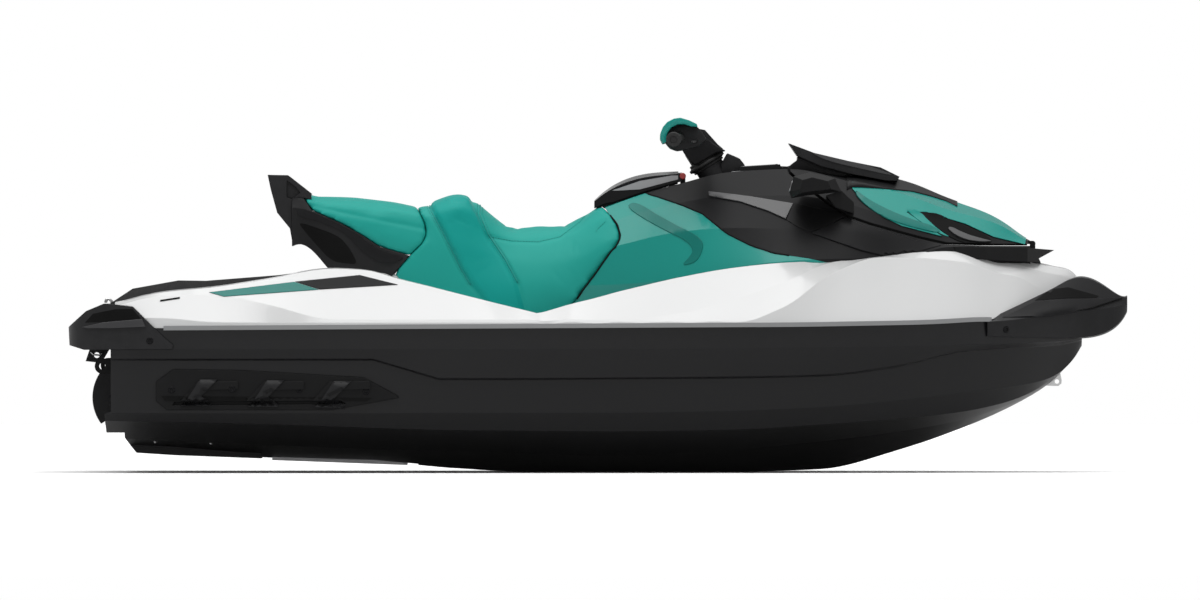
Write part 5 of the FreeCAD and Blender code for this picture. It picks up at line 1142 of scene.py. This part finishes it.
STERN_RECESS_PX = [(89, 322.5), (97, 313.6), (119, 309.2), (136, 308.8), (144.5, 318.4), (107, 321.8)]
STERN_FIN_PX = [(87, 326.8), (107, 322.2), (145.5, 318.8), (149, 326.4), (118, 328), (92, 328)]
BOW_RECESS_PX = [(1034, 300.4), (1049, 289.6), (1067, 287.4), (1098, 296), (1096, 298.2), (1067, 298.2)]
BOW_FACET_PX = [(1001, 317.4), (1034, 301.6), (1067, 299.2), (1097, 299), (1122, 298.4), (1091, 308.4),
                (1048, 316.6)]
SPONSON_CHANNEL_PX = [(164.5, 395.2), (374, 397.2), (368, 400.6), (168, 400.4)]
SPONSON_STRUT_PX = [(203, 378.8), (220.5, 378.8), (204, 395.6), (214.5, 402.2), (213.5, 405.4),
                    (184, 405), (190.6, 397.7)]
STRUT_STEP_PX, STRUT_DROP_PX = 66.4, 0.8
STRUT_COUNT = 3
STRUT_LIFTS, STRUT_SKIRT = (0.006, 0.012), 0.004
BUMPER_SCREWS_PX = [(153.3, 340.5)]
BOW_SCREWS_PX = [(1004.5, 329.4)]
SPONSON_SCREWS_PX = [(174.7, 389.5), (234.9, 388.5), (301.4, 388.9), (367.8, 390.9)]
PLATE_SCREWS_PX = [(156.9, 441.5), (212.4, 443.0)]
TOW_LOOP_PX = [(103, 352.4), (100, 355.4), (93.5, 354.6), (91.2, 352.0)]
DECK_LOOP_PX = [(105.5, 302.6), (106.5, 299.6), (109.5, 299.0), (111.5, 301.2), (112, 303.4)]
SCREW_RADIUS, PLATE_SCREW_RADIUS = 0.011, 0.005
TOW_LOOP_ACROSS, DECK_LOOP_ACROSS = 0.030, 0.120
LOOP_STEP, LOOP_RADIUS = 0.004, 0.0028


class CRAFT_OT_gear(bpy.types.Operator):
    """Finish the bumpers, the sponsons and the stern gear"""

    bl_idname = "craft.gear"
    bl_label = "Bumpers and gear"
    bl_options = {"REGISTER", "UNDO"}

    def execute(self, context):
        stern = surface_of("stern_bumper")
        bow = surface_of("bow_bumper")
        sponson = surface_of("sponson_starboard")
        hull = surface_of("hull", "ride_plate")
        panels = (
            # Painted shade in the stern bumper's recess
            ("stern_recess", STERN_RECESS_PX, stern, 0.0012, None, "recess_black"),
            # Painted sheen on the stern fin's crest
            ("stern_fin", STERN_FIN_PX, stern, 0.0020, (0.009, ((118, 319), (119, 328))),
             "console_sheen"),
            # Painted shade in the bow bumper's recess
            ("bow_recess", BOW_RECESS_PX, bow, 0.0012, None, "recess_black"),
            ("bow_facet", BOW_FACET_PX, bow, 0.0012, (0.008, ((1060, 298), (1066, 315))),
             "console_satin"),
            # Painted shade in the sponson's channel
            ("sponson_channel", SPONSON_CHANNEL_PX, sponson, 0.0012, None, "recess_black"),
        )
        for name, outline, ground, lift, tilt, finish_name in panels:
            dress(inlay(name, outline, ground, lift, tilt=tilt), "craft", finish_name)
        low, high = STRUT_LIFTS
        for index in range(STRUT_COUNT):
            outline = [(px + index * STRUT_STEP_PX, py + index * STRUT_DROP_PX)
                       for px, py in SPONSON_STRUT_PX]
            strut = inlay("sponson_strut_%d" % (index + 1), outline, sponson, low, STRUT_SKIRT,
                          tilt=(high, (outline[0], outline[4])))
            dress(strut, "craft", "black_moulding")
        lots = (
            ("bumper_screws", BUMPER_SCREWS_PX, stern, SCREW_RADIUS, "piano_black"),
            ("bow_screws", BOW_SCREWS_PX, bow, SCREW_RADIUS, "piano_black"),
            ("sponson_screws", SPONSON_SCREWS_PX, sponson, SCREW_RADIUS, "piano_black"),
            ("plate_screws", PLATE_SCREWS_PX, hull, PLATE_SCREW_RADIUS, "stainless"),
        )
        for name, spots, ground, radius, finish_name in lots:
            dress(creased(name, *screw_heads(spots, ground, radius)), "craft", finish_name)
        loops = []
        for line, across in ((TOW_LOOP_PX, TOW_LOOP_ACROSS), (DECK_LOOP_PX, DECK_LOOP_ACROSS)):
            path = finer([seen(px, py, -across) for px, py in line], LOOP_STEP)
            loops += [tube_parts(path, LOOP_RADIUS), tube_parts(mirrored_points(path), LOOP_RADIUS)]
        dress(mesh_object("steel_loops", *joined(loops)), "craft", "stainless")
        return {"FINISHED"}


# Seals and boots in the gaps round the moving pieces

STEER_PIVOT_PX = (711.3, 170.0)
STEER_LEAN = math.radians(32)
STEER_AXIS = Vector((-math.sin(STEER_LEAN), 0, math.cos(STEER_LEAN)))
BOOT_PROFILE = [(0.012, 0.0478), (0.012, 0.0505), (0.015, 0.0530), (0.018, 0.0510), (0.021, 0.0560),
                (0.023, 0.0615), (0.031, 0.0615), (0.033, 0.0560), (0.037, 0.0530), (0.041, 0.0550),
                (0.044, 0.0500), (0.044, 0.0440)]
BOOT_SIDES = 40
TOWER_ACROSS, TOWER_EDGE = (-0.040, 0.040), 0.004
TOWER_PX = [(727, 153), (739.6, 158.4), (744.5, 164.6), (747, 173), (722, 176), (720.6, 164.4)]

# Lips under the hood and the lid: where each starts and ends along the craft, its runs and its depth
HOOD_LIP_X, HOOD_LIP_RUNS, HOOD_LIP_DEEP = (0.5998, 1.344), 90, 0.020
LID_LIP_X, LID_LIP_RUNS, LID_LIP_DEEP = (-0.010, 0.246), 30, 0.018
LIP_STEP, LIP_INSET, LIP_THICK, LIP_SUNK, LIP_SKIP = 0.001, 0.003, 0.004, 0.002, 0.0005
LIP_END_RUNS = 12
SEAL_CLEAR = 0.0010

# Where rays up to a lid start, and where it is looked for if such a ray misses it
LIP_BELOW, LIP_NEAR = 0.3, 0.87

DASH_COWL_PX = [(772, 165.8), (788.9, 166.6), (788.9, 178.5), (772, 178.5)]
VISOR_BASE_PX = [(796.8, 156.6), (797, 160), (790, 165.2), (790, 169.8), (815, 173), (845, 178),
                 (862, 178), (845, 172), (819.5, 164.5)]
VISOR_CHEEK_PX = [(785.8, 166.8), (798, 163.5), (801, 178.6), (794.2, 178.4), (786.8, 172.4)]
DASH_COWL_ACROSS, DASH_COWL_EDGE = (-0.088, 0.088), 0.002
VISOR_BASE_ACROSS, VISOR_BASE_EDGE = (-0.105, 0.105), 0.003
VISOR_CHEEK_ACROSS, VISOR_CHEEK_EDGE = (0.094, 0.104), 0.002


class CRAFT_OT_seals(bpy.types.Operator):
    """Fit the seals, the steering boot and the cowls"""

    bl_idname = "craft.seals"
    bl_label = "Seals"
    bl_options = {"REGISTER", "UNDO"}

    def execute(self, context):
        boot = lathe_parts(BOOT_PROFILE, seen(*STEER_PIVOT_PX), STEER_AXIS, BOOT_SIDES, closed=True)
        dress(mesh_object("steering_boot", *boot), "steering", "soft_rubber")
        moulded("steering_tower", TOWER_PX, TOWER_ACROSS, TOWER_EDGE, "craft")
        moulded("visor_base", VISOR_BASE_PX, VISOR_BASE_ACROSS, VISOR_BASE_EDGE, "hood")
        moulded("visor_cheeks", VISOR_CHEEK_PX, VISOR_CHEEK_ACROSS, VISOR_CHEEK_EDGE, "hood", twin=True)
        below = surface_of("console", "nose_trim", "deck")
        lip = lip_parts(surface_of("hood_shell"), below, HOOD_LIP_X, HOOD_LIP_RUNS, HOOD_LIP_DEEP)
        dress(creased("hood_seal", *lip), "hood", "recess_black")
        below = surface_of("knee_panel", "console", "seat_front")
        lip = lip_parts(surface_of("glovebox_lid"), below, LID_LIP_X, LID_LIP_RUNS, LID_LIP_DEEP)
        dress(creased("lid_seal", *lip), "glovebox", "recess_black")
        moulded("dash_cowl", DASH_COWL_PX, DASH_COWL_ACROSS, DASH_COWL_EDGE, "craft")
        return {"FINISHED"}


# Handlebar

BAR_BEND = Vector((0.2588, 0.20625, 1.0507))
BAR_END = Vector((0.23226, 0.4000, 1.0429))
TO_STARBOARD = Vector((0, -1, 0))

# Grips: share of the bar's end left bare, sections as distances and radii, where ribs start and end
GRIP_START = 0.15
GRIP_FLANGE = ((0.0, 0.012), (0.0, 0.0235), (0.005, 0.0240), (0.0058, 0.0172))
GRIP_RIB = ((0.0, 0.0160), (0.0012, 0.0174), (0.0044, 0.0174), (0.0056, 0.0160))
GRIP_END = ((-0.004, 0.0172), (-0.003, 0.0232), (0.003, 0.0240), (0.006, 0.0215), (0.006, 0.0120),
            (0.003, 0.0110))
GRIP_RIB_PITCH, GRIP_RIBS_START, GRIP_RIBS_END = 0.0062, 0.010, 0.012
GRIP_SIDES = 32

PALM_OUTER_PX = [(662.5, 144), (660, 139), (660.2, 133.6), (662.6, 127.6), (667.2, 122.4),
                 (673.7, 119.2), (680, 118.3), (688.5, 120.8), (696.4, 124.6), (697.4, 127.6)]
PALM_INNER_PX = [(691, 127.2), (684, 124.8), (677.4, 125), (671, 128.2), (667.6, 132.6), (665.8, 138),
                 (666, 143)]
GUARD_PX = [(665.4, 143), (666.8, 132.6), (670.4, 127.8), (677.2, 124.4), (684, 124.2), (691, 126.6),
            (697.4, 127.4), (704.5, 136.2), (706, 141), (698, 147), (688, 149.5), (677, 151),
            (670, 148.5)]
COVER_PX = [(688, 127), (697, 127.6), (704.5, 136.2), (714.4, 144.4), (726.2, 151), (716.2, 153.2),
            (705.6, 159.6), (695, 166), (690.2, 162), (684, 153.4), (680, 146), (683, 134)]
PALM_ACROSS, PALM_EDGE = (0.236, 0.330), 0.0025
GUARD_ACROSS, GUARD_EDGE = (0.212, 0.262), 0.004
COVER_ACROSS, COVER_EDGE = (-0.062, 0.062), 0.006

# Switch buttons: share along the pod and height of each
BUTTONS = ((0.30, 0.010), (0.62, 0.012))
BUTTON_RUN, BUTTON_OFFSET, BUTTON_AXIS = 0.062, Vector((-0.016, 0, 0.018)), Vector((-0.6, 0, 0.8))
BUTTON_RADIUS, BUTTON_DOME_RADIUS, BUTTON_DOME, BUTTON_SIDES = 0.0085, 0.0065, 0.0015, 20


def grip_profile(long):
    """Section of a grip: an inner flange, even ribs and a domed end."""
    profile = list(GRIP_FLANGE)
    far = GRIP_RIBS_START
    while far < long - GRIP_RIBS_END:
        profile += [(far + step, radius) for step, radius in GRIP_RIB]
        far += GRIP_RIB_PITCH
    return profile + [(long + step, radius) for step, radius in GRIP_END]


class CRAFT_OT_handlebar(bpy.types.Operator):
    """Dress the handlebar with its grips, guards, cover and buttons"""

    bl_idname = "craft.handlebar"
    bl_label = "Handlebar"
    bl_options = {"REGISTER", "UNDO"}

    def execute(self, context):
        start = BAR_BEND.lerp(BAR_END, GRIP_START)
        way = (BAR_END - BAR_BEND).normalized()
        grip = lathe_parts(grip_profile((BAR_END - start).length), start, way, sides=GRIP_SIDES)
        grips = creased("ribbed_grips", *with_twin(*grip))
        dress(grips, "steering", "soft_rubber")
        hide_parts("grips")
        outline = PALM_OUTER_PX + PALM_INNER_PX
        palm = slab("palm_rest_shells", outline, *PALM_ACROSS, PALM_EDGE, twin=True)
        dress(palm, "steering", "teal_gloss")
        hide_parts("palm_rests")
        moulded("hand_guards", GUARD_PX, GUARD_ACROSS, GUARD_EDGE, "steering", twin=True)
        cover = slab("bar_cover", COVER_PX, *COVER_ACROSS, COVER_EDGE)
        dress(cover, "steering", "console_satin")
        buttons = []
        for share, tall in BUTTONS:
            centre = BAR_BEND + TO_STARBOARD * (BUTTON_RUN * share) + BUTTON_OFFSET
            profile = [(0.0, BUTTON_RADIUS), (tall, BUTTON_RADIUS),
                       (tall + BUTTON_DOME, BUTTON_DOME_RADIUS)]
            buttons.append(lathe_parts(profile, centre, BUTTON_AXIS, sides=BUTTON_SIDES))
        caps = creased("switch_buttons", *with_twin(*joined(buttons)))
        dress(caps, "steering", "signal_red")
        return {"FINISHED"}


# Glove box

LID_PANEL_PX = [(612, 190.6), (640, 181), (672, 175.6), (678, 175.6), (678, 179.4), (640, 189.4),
                (618, 190.6)]
LID_PANEL_LIFT, LID_PANEL_TILT = 0.0010, (0.004, ((640, 182), (642, 189)))
LID_KNUCKLE_PX, LID_KNUCKLE_ACROSS = (682.5, 176.2), 0.0985
CAP_PROFILE = ((0.0, 0.006), (0.0, 0.0105), (0.011, 0.0105), (0.0135, 0.008))


class CRAFT_OT_glovebox(bpy.types.Operator):
    """Lay the grey panel on the glove box lid and cap its knuckles"""

    bl_idname = "craft.glovebox"
    bl_label = "Glove box"
    bl_options = {"REGISTER", "UNDO"}

    def execute(self, context):
        lid = surface_of("glovebox_lid")
        panel = inlay("lid_panel", LID_PANEL_PX, lid, LID_PANEL_LIFT, tilt=LID_PANEL_TILT)
        dress(panel, "glovebox", "satin_grey")
        knuckle = seen(*LID_KNUCKLE_PX, across=-LID_KNUCKLE_ACROSS)
        caps = creased("knuckle_caps", *with_twin(*lathe_parts(CAP_PROFILE, knuckle, TO_STARBOARD)))
        dress(caps, "glovebox", "signal_red")
        return {"FINISHED"}


# Display

# How far the glass and the rim lie inside the instrument: at the rear, at the front and at the sides
GLASS_INSET, RIM_INSET = (0.022, 0.014, 0.016), (-0.004, -0.010, -0.004)
GLASS_STEP, GLASS_LIFT = 0.014, 0.0016
RIM_STEP, RIM_LIFT, RIM_RADIUS = 0.010, 0.003, 0.0045


def inset_corners(low, high, rear, fore, side):
    """The corners of a box seen from above, moved inwards."""
    return [Vector((low.x + rear, low.y + side)), Vector((high.x - fore, low.y + side)),
            Vector((high.x - fore, high.y - side)), Vector((low.x + rear, high.y - side))]


class CRAFT_OT_display(bpy.types.Operator):
    """Glaze the instrument and put the rim round it"""

    bl_idname = "craft.display"
    bl_label = "Display"
    bl_options = {"REGISTER", "UNDO"}

    def execute(self, context):
        low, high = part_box("instrument")
        cluster = surface_of("instrument")
        points, faces = spread(inset_corners(low, high, *GLASS_INSET), GLASS_STEP)
        places = [on_top(cluster, point.x, point.y) for point in points]
        glass = raised_skin(places, Vector((0, 0, 1)), faces, GLASS_LIFT)
        dress(mesh_object("display_glass", *glass), "craft", "display_glass")
        console = surface_of("console", "steering_socket")
        line = finer(inset_corners(low, high, *RIM_INSET), RIM_STEP, closed=True)
        path = [on_top(console, point.x, point.y, RIM_LIFT) for point in line]
        rim = tube_parts(path, RIM_RADIUS, closed=True)
        dress(mesh_object("display_rim", *rim), "craft", "satin_grey")
        return {"FINISHED"}


# Mirrors

# Corners of a pane as seen from behind: distance across and height
PANE_LOW, PANE_HIGH = Vector((0.338, 0.874)), Vector((0.432, 0.918))
PANE_TAPER, PANE_LEAN = 0.004, 0.008
PANE_LIFT = 0.0008

# Where rays from behind start, and where the housing is looked for if such a ray misses it
PANE_BEHIND, PANE_NEAR = 0.3, 0.59


class CRAFT_OT_mirrors(bpy.types.Operator):
    """Silver the mirrors"""

    bl_idname = "craft.mirrors"
    bl_label = "Mirrors"
    bl_options = {"REGISTER", "UNDO"}

    def execute(self, context):
        housing = surface_of("mirror_housings")
        corners = [PANE_LOW, Vector((PANE_HIGH.x, PANE_LOW.y + PANE_TAPER)),
                   Vector((PANE_HIGH.x, PANE_HIGH.y - PANE_TAPER)),
                   Vector((PANE_LOW.x + PANE_LEAN, PANE_HIGH.y))]
        flat, faces = spread(corners, PANEL_STEP)
        places = []
        for point in flat:
            start = Vector((PANE_BEHIND, -point.x, point.y))
            place = housing.ray_cast(start, Vector((1, 0, 0)))[0]
            places.append(place or housing.find_nearest(Vector((PANE_NEAR, -point.x, point.y)))[0])
        pane = raised_skin(places, Vector((-1, 0, 0)), faces, PANE_LIFT)
        panes = mesh_object("mirror_panes", *with_twin(*pane))
        dress(panes, "hood", "mirror_silver")
        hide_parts("mirror_glasses")
        return {"FINISHED"}


# Studio

# Heights of the sky and their greys, from the level of the craft to overhead
SKY_STOPS = ((0.0, 1.0), (0.12, 1.0), (0.28, 0.30), (0.60, 0.36), (0.85, 1.6))
FLOOR_GREY, FLOOR_TO_CAMERA = 0.60, 1.25
LAMP_WAY = (0.10, 0.35, -1.0)
SENSOR_MM = 36.0
CLIP_SHARE = 3


def studio_world(level):
    """Pale surroundings: white round the craft, softly graded overhead."""
    world = bpy.data.worlds.new("pale_studio")
    world.use_nodes = True
    tree = world.node_tree
    tree.nodes.clear()
    out = tree.nodes.new("ShaderNodeOutputWorld")
    way = tree.nodes.new("ShaderNodeTexCoord")
    parts = tree.nodes.new("ShaderNodeSeparateXYZ")
    tree.links.new(way.outputs["Generated"], parts.inputs["Vector"])
    sky = tree.nodes.new("ShaderNodeValToRGB")
    sky.color_ramp.interpolation = "EASE"
    for index, (place, grey) in enumerate(SKY_STOPS):
        stop = sky.color_ramp.elements[index] if index < 2 else sky.color_ramp.elements.new(place)
        stop.position = place
        stop.color = (grey, grey, grey, 1)
    tree.links.new(parts.outputs["Z"], sky.inputs["Fac"])
    shown = []
    for strength in (level, 1.0):
        pale = tree.nodes.new("ShaderNodeBackground")
        pale.inputs["Strength"].default_value = strength
        tree.links.new(sky.outputs["Color"], pale.inputs["Color"])
        shown.append(pale.outputs["Background"])
    rays = tree.nodes.new("ShaderNodeLightPath")
    direct = rays.outputs["Is Camera Ray"]
    for kind in ("Is Transmission Ray", "Is Glossy Ray"):
        direct = math_node(tree, "MAXIMUM", direct, rays.outputs[kind])
    mix = tree.nodes.new("ShaderNodeMixShader")
    for index, socket in enumerate((direct, *shown)):
        tree.links.new(socket, mix.inputs[index])
    tree.links.new(mix.outputs["Shader"], out.inputs["Surface"])
    return world


def floor_material():
    """Matt white floor, a little lighter to the camera so that it meets the white surroundings."""
    made = bpy.data.materials.new("studio_floor")
    made.use_nodes = True
    tree = made.node_tree
    tree.nodes.clear()
    matt = tree.nodes.new("ShaderNodeBsdfDiffuse")
    rays = tree.nodes.new("ShaderNodeLightPath")
    tone = tree.nodes.new("ShaderNodeMix")
    tone.data_type = "RGBA"
    tree.links.new(rays.outputs["Is Camera Ray"], tone.inputs["Factor"])
    set_inputs(tone, {"A": (FLOOR_GREY,) * 3 + (1,), "B": (FLOOR_TO_CAMERA,) * 3 + (1,)})
    tree.links.new(tone.outputs["Result"], matt.inputs["Color"])
    out = tree.nodes.new("ShaderNodeOutputMaterial")
    tree.links.new(matt.outputs["BSDF"], out.inputs["Surface"])
    return made


def sun_lamp(name, way, strength, spread_angle):
    """A far soft lamp that shines along a direction."""
    data = bpy.data.lights.new(name, "SUN")
    data.energy = strength
    data.angle = spread_angle
    lamp = bpy.data.objects.new(name, data)
    lamp.rotation_mode = "QUATERNION"
    lamp.rotation_quaternion = Vector(way).to_track_quat("-Z", "Y")
    bpy.context.scene.collection.objects.link(lamp)
    return lamp


class CRAFT_OT_studio(bpy.types.Operator):
    """Set up the floor, the lamps, the surroundings and the camera"""

    bl_idname = "craft.studio"
    bl_label = "Studio"
    bl_options = {"REGISTER", "UNDO"}

    def execute(self, context):
        studio = context.scene.craft_studio
        half = studio.floor_wide / 2
        low = CAD_LOW.z
        corners = [(-half, -half, low), (half, -half, low), (half, half, low), (-half, half, low)]
        floor = mesh_object("studio_floor", corners, [(0, 1, 2, 3)], smooth=False)
        floor.data.materials.append(floor_material())
        context.scene.world = studio_world(studio.world_level)
        sun_lamp("top_lamp", LAMP_WAY, studio.top_strength, studio.top_spread)
        camera_data = bpy.data.cameras.new("camera")
        camera = bpy.data.objects.new("camera", camera_data)
        context.scene.collection.objects.link(camera)
        centre = seen(FRAME_WIDE_PX / 2, FRAME_TALL_PX / 2)
        camera.location = (centre.x, -studio.camera_away, centre.z)
        camera.rotation_euler = (math.radians(90), 0, 0)
        camera_data.sensor_width = SENSOR_MM
        wide = FRAME_WIDE_PX * METRES_PER_PX
        camera_data.lens = camera_data.sensor_width * studio.camera_away / wide
        camera_data.clip_end = CLIP_SHARE * studio.camera_away
        context.scene.camera = camera
        context.scene.view_settings.view_transform = "Standard"
        return {"FINISHED"}


OPERATORS = (CRAFT_OT_studio, CRAFT_OT_finishes, CRAFT_OT_seat, CRAFT_OT_livery, CRAFT_OT_gear,
             CRAFT_OT_seals, CRAFT_OT_handlebar, CRAFT_OT_glovebox, CRAFT_OT_display, CRAFT_OT_mirrors)


class CRAFT_PT_pieces(bpy.types.Panel):
    """Pieces and settings of the craft"""

    bl_label = "Watercraft"
    bl_idname = "CRAFT_PT_pieces"
    bl_space_type = "VIEW_3D"
    bl_region_type = "UI"
    bl_category = "Watercraft"

    def draw(self, context):
        for operator in OPERATORS:
            self.layout.operator(operator.bl_idname)
        for settings in (context.scene.craft_colours, context.scene.craft_studio):
            box = self.layout.box()
            for name in settings.__annotations__:
                box.prop(settings, name)


CLASSES = (CraftColours, CraftStudio, *OPERATORS, CRAFT_PT_pieces)


def register():
    """Adds the classes and the scene's settings."""
    for item in CLASSES:
        bpy.utils.register_class(item)
    bpy.types.Scene.craft_colours = bpy.props.PointerProperty(type=CraftColours)
    bpy.types.Scene.craft_studio = bpy.props.PointerProperty(type=CraftStudio)


def unregister():
    """Removes them again."""
    del bpy.types.Scene.craft_studio
    del bpy.types.Scene.craft_colours
    for item in reversed(CLASSES):
        bpy.utils.unregister_class(item)


def main():
    """Builds the whole scene."""
    register()
    for operator in OPERATORS:
        group, name = operator.bl_idname.split(".")
        getattr(getattr(bpy.ops, group), name)()


if __name__ == "__main__":
    main()
